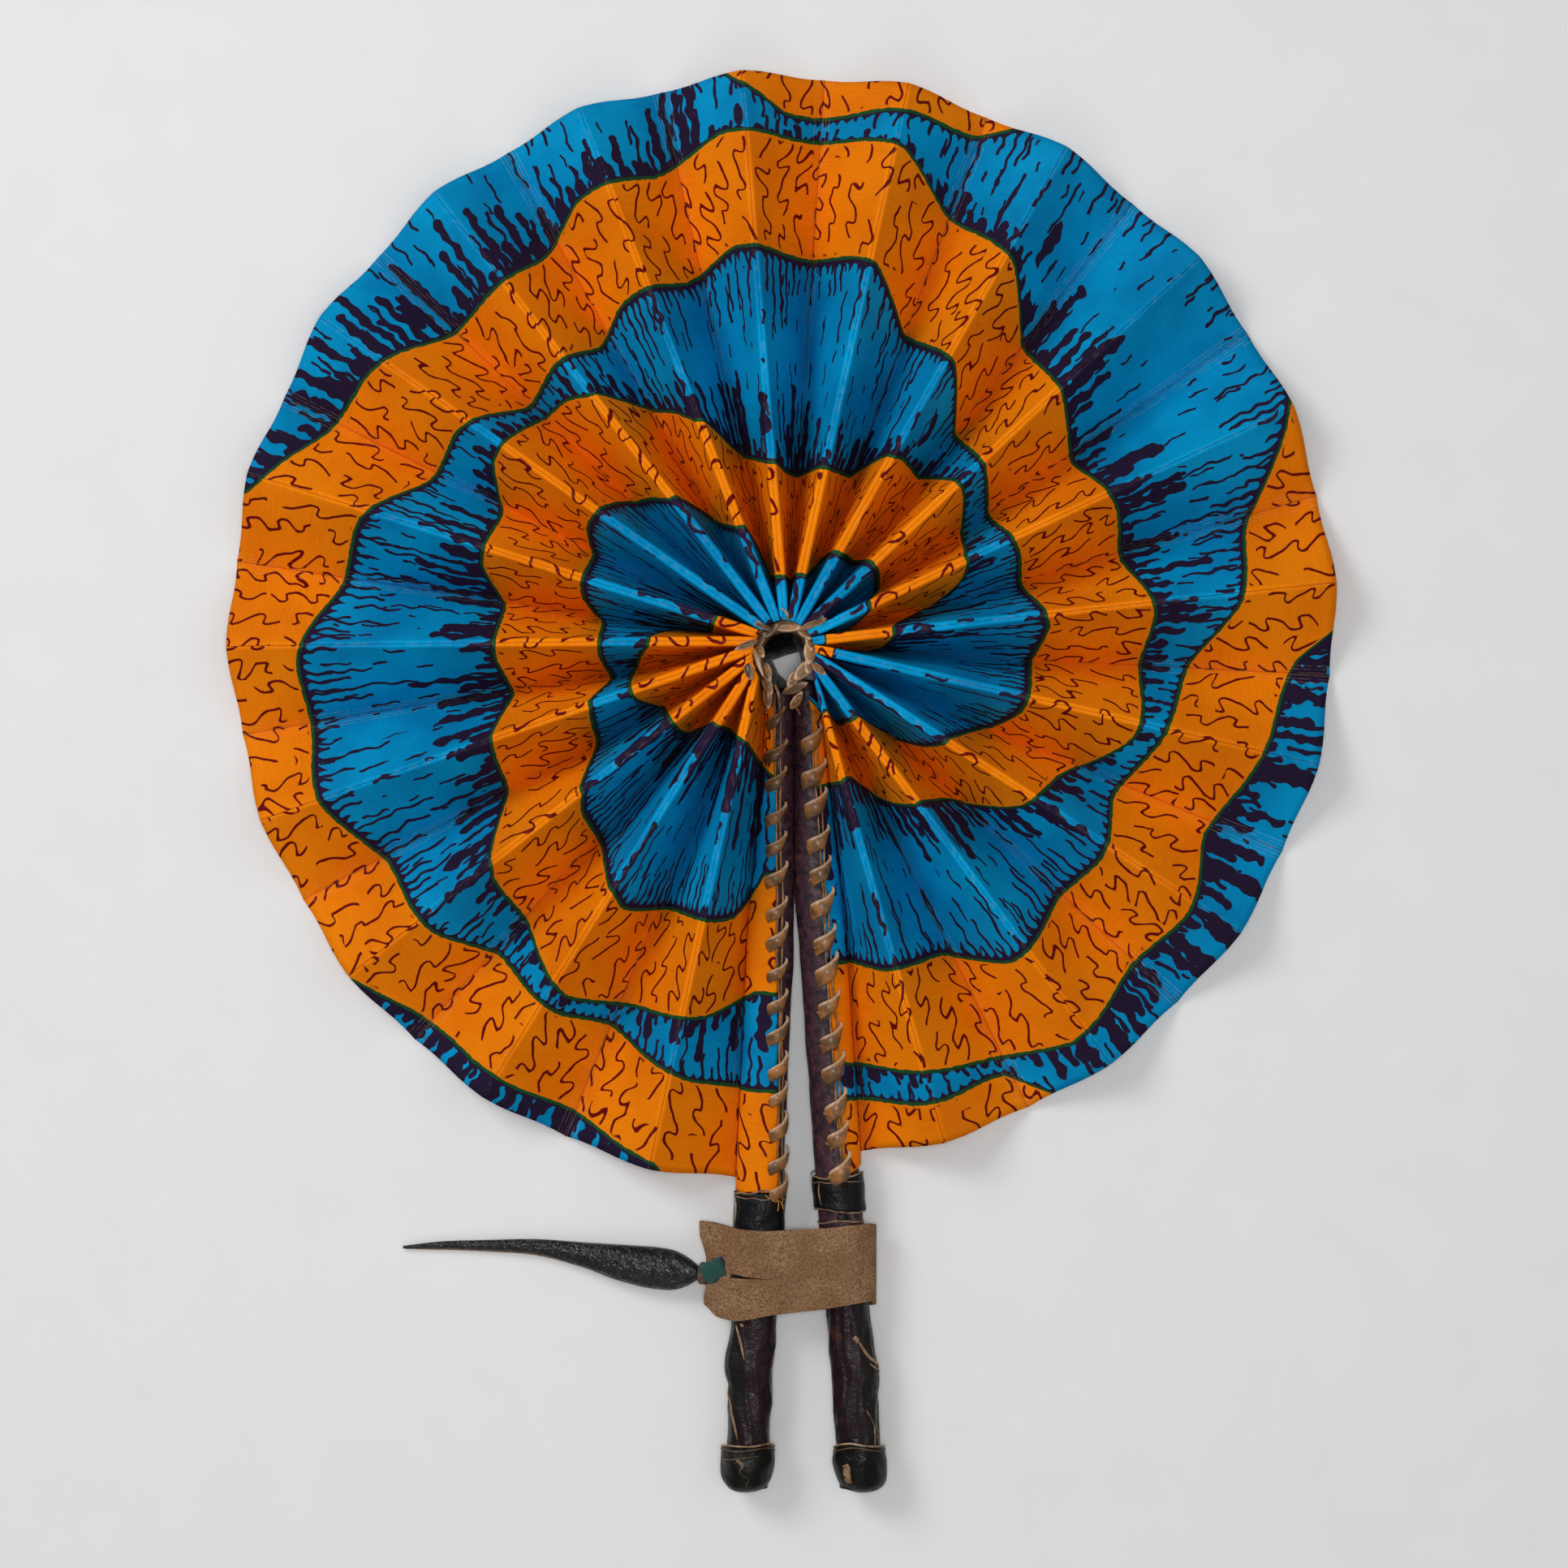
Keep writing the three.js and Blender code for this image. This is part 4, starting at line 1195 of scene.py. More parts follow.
# A point on an end cap's skin: s runs from its mouth to its tip, angle from the outer side
def capPoint(word, s, angle, lift=0.0):
    stick = sticks[word]
    seed = unevenSeeds[word]
    s = np.clip(s, 0, 1)
    rounding = (1 - s**4.5) ** (1 / 2.4)
    size = endCap["half"] * lerp(endCap["lip"], 1, smoothstep(s, 0, 0.35)) * np.maximum(rounding, 0.03)
    lean = endCap["lean"] * np.clip(np.sin(angle), -1, 1) + endCap["wave"] * np.sin(2 * angle + seed)
    t = lerp(endCap["start"] - lean * (1 - s) ** 2, endCap["finish"], s)
    x, y, _ = stickAxis(stick, t)
    out = np.stack([stick["side"] * np.cos(angle) + 0 * t, 0 * t, np.sin(angle) + 0 * t], -1)
    centre = np.stack([x, y, np.full_like(t, endCap["half"])], -1)
    spot = centre + out * (size + lift)[..., None]
    spot = spot + out * (0.3 * uneven(spot, 10, seed + 9) * size / endCap["half"])[..., None]
    spot[..., 2] = np.maximum(spot[..., 2], 0.0)
    return spot


def makeCap(word):
    stick = sticks[word]
    body = f"{word}_stick"
    seed = unevenSeeds[word]
    angle = np.linspace(0, 2 * math.pi, 72, endpoint=False)[None, :]
    rings = capPoint(word, np.linspace(0, 1, 40)[:, None] + 0 * angle, angle)
    width, height = stickHalves(endCap["start"])
    ring = np.stack([np.cos(angle) * (width - 1), 0 * angle, np.sin(angle) * (height - 1)], -1)
    floor = rings[:1].mean(1, keepdims=True) * (1, 0, 1) - (0, endCap["finish"] - endCap["wall"], 0)
    mouth = rings[:1].mean(1, keepdims=True)
    rings = np.concatenate([floor + ring * 0.02, floor + ring, mouth + ring, rings])
    mesh = skinMesh(f"{word}_cap", rings)
    addPiece(mesh, leathers["capLeather"], body, "black_leather", f"{word}_end_cap")
    angle = np.linspace(0, 2 * math.pi, 120, endpoint=False)
    for i, (s, half) in enumerate(((0.015, 0.34), (0.09, 0.22))):
        path = capPoint(word, s + 0.02 * np.sin(3 * angle + seed + i), angle, 0.05)
        out = np.stack([stick["side"] * np.cos(angle), 0 * angle, np.sin(angle)], -1)
        edge = loopMesh(f"{word}_cap_edge_{i + 1}", path, half, 0.28, out)
        addPiece(edge, leathers["rawEdge" if i == 0 else "dullEdge"], body, "thong")


# A strand on an end cap's skin, at shares s of its length and angles from its outer side
def capStrand(name, word, s, angle, lift, half, thick, sides=8):
    out = np.stack([sticks[word]["side"] * np.cos(angle), 0 * s, np.sin(angle)], -1)
    return strandMesh(name, capPoint(word, s, angle, lift), half, thick, out, sides)


# A strip that lies on the upper side of a stick, through points (x, t)
def stripPath(word, points, lift, skin=None):
    stick = sticks[word]
    x, t = smoothPath(np.column_stack([points, np.zeros(len(points))]), 40)[:, :2].T
    width = stickHalves(t)[0]
    if word == "right" or skin is wrapLift:
        width = width + 1.0
    angle = np.arccos(np.clip(stick["side"] * (x - stickAxis(stick, t)[0]) / width, -0.99, 0.99))
    bare = onStick(stick, t, angle, 0)
    stand = skin(word, bare, t, angle) if skin else 0
    out = onStick(stick, t, angle, 3) - bare
    return onStick(stick, t, angle, stand + lift), out


def stripMesh(name, word, points, half, lift=0.1, skin=None, thick=0.3):
    path, out = stripPath(word, points, lift, skin)
    taper = np.sin(np.linspace(0.08, 0.96, len(path)) * math.pi) ** 0.6
    return strandMesh(name, path, half * taper, thick * taper, out, 10)


# Thong strips worn out of the handles' wraps, each (stick, points (x, t), half width, look)
handleStrips = [
    ("left", [(-17.2, 228), (-15.6, 233), (-13.8, 239.8)], 0.55, "rawEdge"),
    ("left", [(-20.6, 249.3), (-19, 257), (-16.7, 267)], 0.62, "rawEdge"),
    ("right", [(25.4, 233), (30, 239.2), (33, 243)], 0.6, "rawEdge"),
    ("right", [(29.7, 241), (31.4, 243), (32.9, 244.6)], 0.3, "rawEdge"),
    ("right", [(28.6, 256.6), (31.8, 262), (34.3, 266)], 0.45, "dullEdge"),
    ("right", [(31.9, 262.5), (32.3, 266), (32.4, 269.2)], 0.4, "rawEdge"),
    ("left", [(-15.6, 227.4), (-15, 227.9), (-14.2, 228.3)], 0.5, "rawEdge"),
]
# the lines that cross in the knot on the right handle
knotLines = [
    [(23.6, 232.6), (24.6, 232.2), (25.8, 233)],
    [(24.3, 231.4), (24.9, 232.6), (25.2, 234)],
]


def makeHandleTrims():
    for i, (word, points, half, look) in enumerate(handleStrips):
        mesh = stripMesh(f"handle_strip_{i + 1}", word, points, half, 0.12, wrapLift)
        addPiece(mesh, leathers[look], f"{word}_stick", "thong")
    knot = [stripMesh("knot", "right", line, 0.7, 0.5, wrapLift, 0.6) for line in knotLines]
    addPiece(joinMeshes("handle_knot", knot), leathers["rawEdge"], "right_stick", "thong")
    for word in sticks:
        band = collars[word]
        top, end, lift = band["start"], band["end"], band["lift"]
        edgeLoop(f"{word}_band_top_edge", word, top + 0.1, lift + 0.02, band["tilt"], 0.3, 1)
        edgeLoop(f"{word}_band_lip", word, top + 2.1, lift + 0.1, 0.3, 0.17, 3)
        edgeLoop(f"{word}_band_end_edge", word, end - 0.1, lift + 0.02, 0.5, 0.2, 6)
    edgeLoop("right_cover_seam", "right", 193.0, 0.1, 0.5, 0.28, 2)
    # the seams where each collar's end is lapped
    seams = {
        "left": [(-15.6, 184), (-15.4, 189), (-16, 196)],
        "right": [(12.2, 179.2), (12.0, 182.6), (12.9, 187.2)],
    }
    for word, points in seams.items():
        mesh = stripMesh(f"{word}_band_seam", word, points, 0.28, collars[word]["lift"] + 0.1)
        addPiece(mesh, leathers["rawEdge"], f"{word}_stick", "thong")
    # the stretch of bared leather below the right collar, black in its middle with a tan strip beside it
    mesh = stripMesh("right_cover_patch", "right", [(19.8, 189.9), (20, 191.3), (20.2, 192.7)], 2.0, 0.02)
    addPiece(mesh, leathers["blackLeather"], "right_stick", "black_leather")
    mesh = stripMesh("right_cover_strip", "right", [(23.3, 189.7), (24, 191.3), (25.4, 192.9)], 0.7, 0.05)
    addPiece(mesh, leathers["dullEdge"], "right_stick", "thong")
    # the left cap's seam with its torn bit, and the right cap's worn patch
    s = np.linspace(0.28, 0.2, 40)
    seam = [capStrand("seam", "left", s, np.linspace(2.0, 0.35, 40)[::-1], 0.05, 0.18, 0.2)]
    s = np.linspace(0.26, 0.88, 30)
    angle = lerp(1.2, 1.75, (s - 0.26) / 0.62) + 0.1 * np.sin(s * 22)
    half = np.interp(s, [0.26, 0.34, 0.45, 0.88], [0.5, 0.75, 0.22, 0.12])
    seam.append(capStrand("tear", "left", s, angle, 0.03, half, 0.22))
    addPiece(joinMeshes("left_cap_seam", seam), leathers["dullEdge"], "left_stick", "thong")
    s = np.linspace(0.36, 0.74, 24)
    angle = 2.16 + 0.03 * np.sin(s * 40)
    half = 1.35 + 0.2 * np.sin(s * 60)
    mesh = capStrand("right_cap_patch", "right", s, angle, 0.0, half, 0.2, 10)
    addPiece(mesh, leathers["rawEdge"], "right_stick", "thong")


# Lacing and ring: wraps and scales of a flat thong, bent, placed and turned by one geometry tree
def makeThongForm():
    labels = ("Half Span", "Height", "Arc", "Sink", "Lean", "Hook", "Broad", "Tail", "Top Aligned")
    labels += ("Pointed", "Both Edges", "Thickness", "Unevenness")
    inputs = {**dict.fromkeys(labels, "Float"), "Seed": "Int", "Thong": "Material"}
    tree, given, leave = newFormTree("thongForm", inputs)
    fed = {"Vertices": 14, "Side Segments": 24, "Radius": 1.0, "Depth": 2.0}
    bar = addNode(tree, "GeometryNodeMeshCylinder", "Mesh", fed)
    spot = addNode(tree, "GeometryNodeInputPosition")
    across, thick, u = spot.part("X"), spot.part("Y"), spot.part("Z")
    turn = u * given["Arc"]
    bend = u.most(0.0)
    span = given["Half Span"]
    narrowing = 1.0 - given["Pointed"] * u * u * u * u
    width = (given["Tail"] + (given["Broad"] - given["Tail"]) * u.step(0.8, 0.1)) * narrowing
    x = span * turn.sin()
    y = given["Lean"] * u + given["Hook"] * bend * bend - width * given["Top Aligned"]
    z = given["Height"] * turn.cos() - given["Sink"] * (x / span) * (x / span)
    slant = joinXyz((given["Lean"] + given["Hook"] * bend * 2.0) * -0.35, span, 0.0)
    slant = slant.vectorMaths("NORMALIZE")
    outward = joinXyz(turn.sin(), 0.0, turn.cos())
    curl = across * across * given["Thickness"] * -0.5
    formed = (
        joinXyz(x, y, z)
        + slant * (across * width)
        + outward * (thick * given["Thickness"] * 0.5 + curl)
    )
    edge = across.most(abs(across) * given["Both Edges"]) + u.step(0.5, 0.85)
    edge = edge.most((abs(u) - 0.86) * 9.0 * given["Both Edges"])
    fed = {"Geometry": bar, "Name": "rawEdge", "Value": edge}
    marked = addNode(tree, "GeometryNodeStoreNamedAttribute", 0, fed, data_type="FLOAT", domain="POINT")
    shape = addNode(tree, "GeometryNodeSetPosition", 0, {"Geometry": marked, "Position": formed})
    luck = []
    for i in range(2):
        fed = {2: -1.0, 3: 1.0, "Seed": given["Seed"] + float(i * 31)}
        draw = addNode(tree, "FunctionNodeRandomValue", 1, fed, data_type="FLOAT")
        luck.append(draw * given["Unevenness"])
    facing = named(tree, "facing")
    heading = named(tree, "heading")
    heading = heading + heading.vectorMaths("CROSS_PRODUCT", facing) * luck[0]
    fed = {0: facing, 1: heading}
    turned = addNode(tree, "FunctionNodeAxesToRotation", 0, fed, primary_axis="Z", secondary_axis="Y")
    size = named(tree, "size") * (luck[1] * 0.6 + 1.0)
    fed = {"Points": given["Geometry"], "Instance": shape, "Rotation": turned, "Scale": size}
    placed = addNode(tree, "GeometryNodeInstanceOnPoints", 0, fed)
    endFormTree(tree, leave, placed, given["Thong"])
    return tree


thongForm = makeThongForm()


def makeThongs(name, spots, facing, heading, sizes, shades, settings, body, *nodes):
    mesh = bpy.data.meshes.new(name)
    mesh.from_pydata(inRow(spots), [], [])
    sizes = np.broadcast_to(sizes, (len(spots), 3))
    addAttributes(mesh, facing=facing, heading=heading, size=sizes, shade=shades)
    piece = newObject(name, mesh, thong)
    bare = {"Arc", "Top Aligned", "Pointed", "Both Edges", "Unevenness", "Seed"}
    given = {label: value if label in bare else value * mm for label, value in settings.items()}
    addForm(piece, thongForm, {**given, "Thong": thong})
    settle(piece)
    assign(piece, body, "thong", *nodes)


lacing = {
    "left": {"wraps": 16, "start": 19.8, "span": 3.5, "broad": 2.1, "nubs": False, "hubShade": 0.9},
    "right": {"wraps": 14, "start": 26.0, "span": 3.8, "broad": 2.8, "nubs": True, "hubShade": 0.25},
    "endGap": 4.5,
    "lift": 0.5,
    "form": {
        "Height": 1.45,
        "Arc": math.radians(100), "Sink": 0.8, "Lean": 2.3, "Hook": 1.7, "Tail": 0.5, "Top Aligned": 1.0,
        "Pointed": 0.0, "Both Edges": 0.0, "Thickness": 0.75, "Unevenness": 0.13, "Seed": 5,
    },
}


# The skin, its outward direction and the direction towards the hub, along the lace's line
def laceFrame(stick, t, sideways=0.0):
    angle = laceAngle(stick, t) - stick["side"] * sideways / (stickHalves(t)[0] + 1)
    spot = onStick(stick, t, angle, flap["lift"] + lacing["lift"])
    width, height = stickHalves(t)
    facing = np.stack([stick["side"] * np.cos(angle) / width, 0 * t, np.sin(angle) / height], -1)
    facing /= np.linalg.norm(facing, axis=1)[:, None]
    heading = -np.gradient(spot, axis=0)
    heading /= np.linalg.norm(heading, axis=1)[:, None]
    return spot, facing, heading


def makeLacing(word):
    stick = sticks[word]
    plan = lacing[word]
    body = f"{word}_stick"
    end = stick["flapEnd"] - lacing["endGap"]
    t = np.linspace(plan["start"], end, plan["wraps"])
    t = t + 0.7 * np.sin(np.arange(plan["wraps"]) * 2.4)
    spot, facing, heading = laceFrame(stick, t)
    # painted shade: the wraps near the hub are darkened, far more on the left
    shades = 0.85 * (1 - smoothstep(t, 30, 75)) * plan["hubShade"]
    shades = shades + 0.3 * (np.sin(np.arange(len(t)) * 5.1) > 0.4)
    form = {**lacing["form"], "Half Span": plan["span"], "Broad": plan["broad"]}
    makeThongs(f"{word}_laces", spot, facing, heading, (1, 1, 1), shades, form, body, f"{word}_lacing")
    if plan["nubs"]:
        side = {"Half Span": 1.0, "Height": 0.7, "Broad": 0.42, "Tail": 0.12, "Lean": -0.5, "Hook": 0.0}
        spot, facing, heading = laceFrame(stick, t[1:] + 4.4, -3.5)
        makeThongs("right_nubs", spot, facing, heading, (1, 1, 1), 0 * t[1:], {**form, **side}, body)
    t = np.linspace(plan["start"] - 8, end + 3, 120)
    cords = []
    for i, sideways in enumerate((0.1, 1.5)):
        spot, facing, _ = laceFrame(stick, t, sideways)
        sway = uneven(spot, 26, 40 + i)[:, None] * (0.35, 0, 0)
        cords.append(strandMesh(f"cord{i}", spot + sway - facing * 0.1, 0.42, 0.4, facing, 8))
    addPiece(joinMeshes(f"{word}_lace_cords", cords), thong, body, "thong", f"{word}_lacing_core")


# The ring is an open loop of dark thong, painted darkest as shade for the gaps between the scales laid over
# it, each (x, y, height of its top, direction of its tip, half length, half width, how dark it is)
ring = {
    "core": [(-5.4, -16, 19), (-5.2, -10.5, 27), (-7.6, -3.5, 30), (-8.2, 3, 30.6), (-5, 7.8, 31),
             (1.4, 9.4, 31.2), (6.4, 7.3, 31), (8.5, 1.5, 30.8), (7.2, -4.2, 30), (4.6, -9.5, 27.4),
             (4.6, -16, 19)],
    "coreHalf": 1.6,
    "shingle": 0.26,
    "scales": [
        (-5.3, -13.6, 27.5, -86, 3.0, 1.5, 0.55), (-5.3, -9.6, 30.2, -72, 2.9, 1.7, 0.5),
        (-5.6, -5.4, 31.6, -66, 2.8, 1.8, 0.4), (-11.4, -5.4, 35.8, -70, 2.3, 1.6, 1.0),
        (-8.6, -1.9, 33.0, -74, 4.3, 0.85, -0.5), (-7.9, 1.6, 32.6, -64, 2.4, 1.6, 0.1),
        (-12.6, 3.4, 35.7, 200, 3.2, 1.3, 0.5), (-7.9, 5.3, 32.6, 58, 2.8, 1.6, 0.95),
        (-4.8, 8.3, 32.7, 36, 3.2, 1.6, 0.9), (-7.2, 9.6, 35.3, 160, 2.8, 0.9, 0.8),
        (1.4, 9.6, 33.5, -6, 3.9, 2.0, -0.12), (9.6, 10.4, 35.5, 22, 4.0, 1.2, 0.35),
        (6.4, 8.0, 32.8, -52, 3.1, 1.8, 0.3), (8.6, 4.6, 32.9, -76, 2.9, 1.7, 0.1),
        (8.5, 1.0, 33.4, -100, 3.3, 2.2, -0.15), (8.6, -2.7, 32.8, -104, 2.9, 2.0, -0.1),
        (6.2, -5.0, 33.0, -132, 3.4, 2.3, -0.15), (11.6, -4.6, 35.6, -40, 2.2, 1.3, 0.2),
        (2.9, -7.6, 31.6, -124, 2.5, 1.7, 0.0), (4.0, -10.3, 29.6, 22, 3.6, 1.6, 0.65),
        (4.3, -14.2, 27.0, 62, 3.1, 1.6, 0.05),
    ],
    "form": {
        "Half Span": 1.4,
        "Height": 1.6, "Arc": math.radians(50), "Sink": 0.0, "Lean": 0.0, "Hook": 0.0, "Broad": 1.0,
        "Tail": 0.8, "Top Aligned": 0.0, "Pointed": 0.25, "Both Edges": 1.0, "Thickness": 0.75,
        "Unevenness": 0.08, "Seed": 9,
    },
    # thinner ends of thong that lie loose over the ring and the sticks: points, half width
    "ends": [
        ([(-3.2, -9.4, 29.6), (-1.9, -12.6, 26.4), (-1.4, -16, 20), (-1.3, -19, 14.2)], 0.55),
        ([(-6.4, -12, 27), (-6.2, -15.5, 21.4), (-6.0, -19, 14.6)], 0.5),
        ([(-0.9, 15.8, 35.7), (0.7, 14.6, 35.8), (1.4, 12.4, 35.3), (1.8, 10.6, 33.4)], 0.5),
        ([(-9.6, 11.6, 35.7), (-7.8, 10.8, 35.8), (-5.8, 9.4, 34.2)], 0.45),
        ([(12.6, 13.4, 35.7), (13.6, 12.2, 35.8), (13.0, 11, 35.7), (11, 10.2, 35.2)], 0.35),
        ([(3.0, -16, 20.5), (4.6, -17.6, 17.4), (5.6, -19.6, 14.6)], 0.5),
        ([(5.8, -12.5, 27.2), (5.3, -14, 27.3), (4.9, -15.6, 24)], 0.4),
    ],
}


def makeRing():
    scales = np.array(ring["scales"], float)
    point = np.radians(scales[:, 3])
    heading = np.column_stack([-np.sin(point), np.cos(point), 0 * point])
    tilt = 0.25 * np.column_stack([scales[:, 0], scales[:, 1], 0 * point]) / 10
    # each scale's tip lies on the next scale
    tip = np.column_stack([np.cos(point), np.sin(point), 0 * point])
    facing = tilt + (0.0, 0.0, 1.0) - ring["shingle"] * tip
    spots = scales[:, :3] - (0, 0, ring["form"]["Height"])
    sizes = np.column_stack([scales[:, 4], scales[:, 5], np.ones(len(scales))])
    makeThongs(
        "ring_scales", spots, facing, heading, sizes, scales[:, 6], ring["form"], "left_stick", "centre_ring"
    )
    half = ring["coreHalf"]
    core = strandMesh("ring_core", smoothPath(ring["core"], 90), half, half, sides=14)
    # the core's darkest colour: its own dark thong, and painted shade in the gaps between the scales
    addAttributes(core, shade=np.full(len(core.vertices), 1.0))
    addPiece(core, thong, "left_stick", "thong")
    for i, (points, half) in enumerate(ring["ends"]):
        path = smoothPath(points, 30)
        taper = np.sin(np.linspace(0.15, 0.94, 30) * math.pi) ** 0.5
        mesh = strandMesh(f"ring_end_{i + 1}", path, half * taper, 0.35 * taper)
        addPiece(mesh, leathers["rawEdge"], "left_stick", "thong")


# The lining narrows to a pointed opening at its foot
lining = {
    "top": 28.5,
    "foot": 1.2,
    "sides": 84,
    "rings": 26,
    "topHalves": (9.3, 10.7),
    "pleats": 19,
    "pleatDepth": 0.035,  # as a share of its radius
    "inside": 0.93,  # the inner skin's size beside the outer one's
    "opening": [(-4.4, -0.6), (0.6, 1.2), (5.4, 2.6), (6.6, -1.4), (4.4, -5.2), (0.8, -8.2), (-2.0, -5.4)],
}


def makeLining():
    sides = lining["sides"]
    halfX, halfY = lining["topHalves"]
    turn = np.linspace(0, 2 * math.pi, sides, endpoint=False)
    corners = np.array(lining["opening"] + lining["opening"][:1], float)
    lengths = np.concatenate([[0], np.cumsum(np.linalg.norm(np.diff(corners, axis=0), axis=1))])
    places = turn / (2 * math.pi) * lengths[-1]
    foot = np.column_stack([np.interp(places, lengths, corners[:, i]) for i in range(2)])
    direction = math.atan2(foot[0, 1], foot[0, 0]) - turn
    top = np.column_stack([halfX * np.cos(direction), halfY * np.sin(direction)])
    rings = []
    for s in np.linspace(0, 1, lining["rings"]):
        wave = lining["pleatDepth"] * np.sin(lining["pleats"] * direction)
        pleat = wave * math.sin(math.pi * min(s * 1.4, 1)) ** 2
        plan = lerp(top, foot, smoothstep(s, 0.05, 1.0)) * (1 + pleat)[:, None]
        rings.append(np.column_stack([plan, np.full(sides, lerp(lining["top"], lining["foot"], s))]))
    outer = np.array(rings)
    inner = outer * (lining["inside"], lining["inside"], 1.0)
    mesh = skinMesh("lining", np.concatenate([outer, inner[::-1]]), looped=True)
    addPiece(mesh, leathers["blackLeather"], "left_stick", "black_leather", "hub_lining")


# Threads frayed from the cloth's end, lying on the left collar: points (x, t)
frayed = [
    [(-4.6, 183.2), (-3.2, 185.4), (-2.2, 186), (-1.4, 188.6)],
    [(-5.4, 183.3), (-4.4, 185.2), (-3.4, 185.8)],
    [(-3.6, 183.4), (-2.8, 186.6), (-3.0, 189)],
    [(-2.6, 183), (-1.6, 184.6), (-1.8, 186.8), (-0.9, 187.6)],
    [(-6.6, 183.4), (-5.6, 184.4), (-4.2, 184.4)],
]


def makeFrayed():
    threads = []
    for i, points in enumerate(frayed):
        path, out = stripPath("left", points, collars["left"]["lift"] + 0.25)
        threads.append(strandMesh(f"thread{i}", path, 0.16, 0.16, out, 6))
    mesh = joinMeshes("frayed_threads", threads)
    addPiece(mesh, frayedThread, "left_stick", "cloth_orange")


# Strap, neck and tongue
strap = {
    "middle": 8.187,
    "half": 6.444,
    "wall": 1.4,
    "left": -28.6,
    "slant": 2.3,  # how far its left edge leans in towards the neck
    # outline and slit, as seen from above
    "top": [(-28.6, -193.8), (-24, -194.4), (-21, -195.2), (-17, -196.4), (-10.5, -197.2), (1.6, -197.2),
            (15, -196.3), (27, -195.1), (30.2, -194.9), (31.6, -195.8), (32.4, -198.4)],
    "bottom": [(-28.6, -221), (-27.4, -223), (-25, -225.6), (-19, -228), (-4.2, -226.4), (15, -224.1),
               (27, -221.9), (30, -221.2), (31.6, -219.8), (32.4, -217)],
    "upperLip": [(-28.6, -209.4), (-26.5, -208.9), (-23.5, -207.5), (-20.9, -206.2), (-20, -207),
                 (-19.8, -210), (-17.5, -211.8), (-14.8, -212.7), (-8.2, -213.7), (-1, -214.2)],
    "lowerLip": [(-28.6, -215.4), (-26, -215.4), (-23.9, -215.1), (-22.3, -214.4), (-21.2, -211.9),
                 (-19.8, -212.9), (-14.8, -213.7), (-8.2, -213.95), (-4, -214.05), (-1, -214.2)],
    "slitEnd": -1.0,
    "rowsEach": 22,
    "alongSticks": 226,  # how far down the sticks it lies
    "back": (-197.3, -224.5),  # top and bottom of the part under the handles
    "backSlitEnd": -19.5,
    "gap": 0.4,  # between it and the sticks' sides
    "sags": [(6, 6.0, 0.8), (-19.5, 2.6, 0.5)],  # x, half width, depth
    "unevenness": 0.22,
    "lowest": 0.9,
    "bevel": 0.25,
}


def strapLevels(x, *names):
    return [float(smoothCurve(strap[name], np.array([x]))[0]) for name in names]


def makeStrap():
    axisT = strap["alongSticks"]
    leftX = float(stickAxis(sticks["left"], axisT)[0])
    rightX = float(stickAxis(sticks["right"], axisT)[0])
    reach = float(stickHalves(axisT)[0]) + strap["gap"]
    middle, half, wall = strap["middle"], strap["half"], strap["wall"]
    grow = wall / 2
    each = strap["rowsEach"]
    start = np.array([strap["left"], middle + grow])
    pull = np.array([leftX - reach, middle + half + grow])
    top = np.array([leftX, middle + half + grow])
    curve = [(1 - s) ** 2 * start + 2 * s * (1 - s) * pull + s * s * top for s in np.linspace(0, 1, 34)]
    level = [lerp(top, np.array([rightX, top[1]]), s) for s in np.linspace(0, 1, 40)[1:]]
    bend = [
        np.array([rightX + (reach + grow) * math.cos(a), middle + (half + grow) * math.sin(a)])
        for a in np.linspace(math.pi / 2, 0, 14)[1:]
    ]
    upper = np.array(curve + level + bend)
    lower = upper[::-1][1:] * (1, -1) + (0, 2 * middle)
    rows = []
    for line, isFront in ((upper, True), (lower, False)):
        for x, z in line:
            high, low = strapLevels(x, "top", "bottom")
            if not isFront:
                high, low = lerp(high, strap["back"][0], 0.7), lerp(low, strap["back"][1], 0.5)
            if x < strap["slitEnd"] and (isFront or x < strap["backSlitEnd"]):
                lipHigh, lipLow = strapLevels(x, "upperLip", "lowerLip")
            else:
                lipHigh = lipLow = lerp(high, low, 0.55)
            ys = np.concatenate([np.linspace(high, lipHigh, each), np.linspace(lipLow, low, each)])
            ys = underEye(x, ys, z)[1]
            rows.append(np.column_stack([np.full(2 * each, x), ys, np.full(2 * each, z)]))
    rows = np.array(rows)
    inset = smoothstep(rows[..., 1], -196, -206) - 0.35 * smoothstep(rows[..., 1], -214, -219)
    rows[..., 0] += strap["slant"] * inset * (1 - smoothstep(rows[..., 0], -28.6, -20))
    isTop = rows[..., 2] > middle
    sag = sum(np.exp(-(((rows[..., 0] - x) / wide) ** 2)) * deep for x, wide, deep in strap["sags"])
    rows[..., 2] += strap["unevenness"] * uneven(rows, 14, 61) - sag * isTop
    rows[..., 2] = np.maximum(rows[..., 2], strap["lowest"])
    count = len(rows)
    index = np.arange(count * 2 * each).reshape(count, 2 * each).tolist()
    parted = np.abs(rows[:, each - 1, 1] - rows[:, each, 1]) > 1e-6
    quads = []
    for i in range(count - 1):
        for j in range(2 * each - 1):
            if j == each - 1 and (parted[i] or parted[i + 1]):
                continue
            quads.append((index[i][j], index[i][j + 1], index[i + 1][j + 1], index[i + 1][j]))
    mesh = bpy.data.meshes.new("strap_band")
    mesh.from_pydata(inRow(rows.reshape(-1, 3)), [], quads)
    tidyNormals(mesh)
    piece = newObject("strap_band", mesh, suede)
    thicken(piece, wall, 0)
    soften = piece.modifiers.new("soften", "BEVEL")
    soften.width = strap["bevel"] * mm
    soften.segments = 2
    soften.limit_method = "ANGLE"
    settle(piece)
    assign(piece, "strap", "suede", "handle_strap")


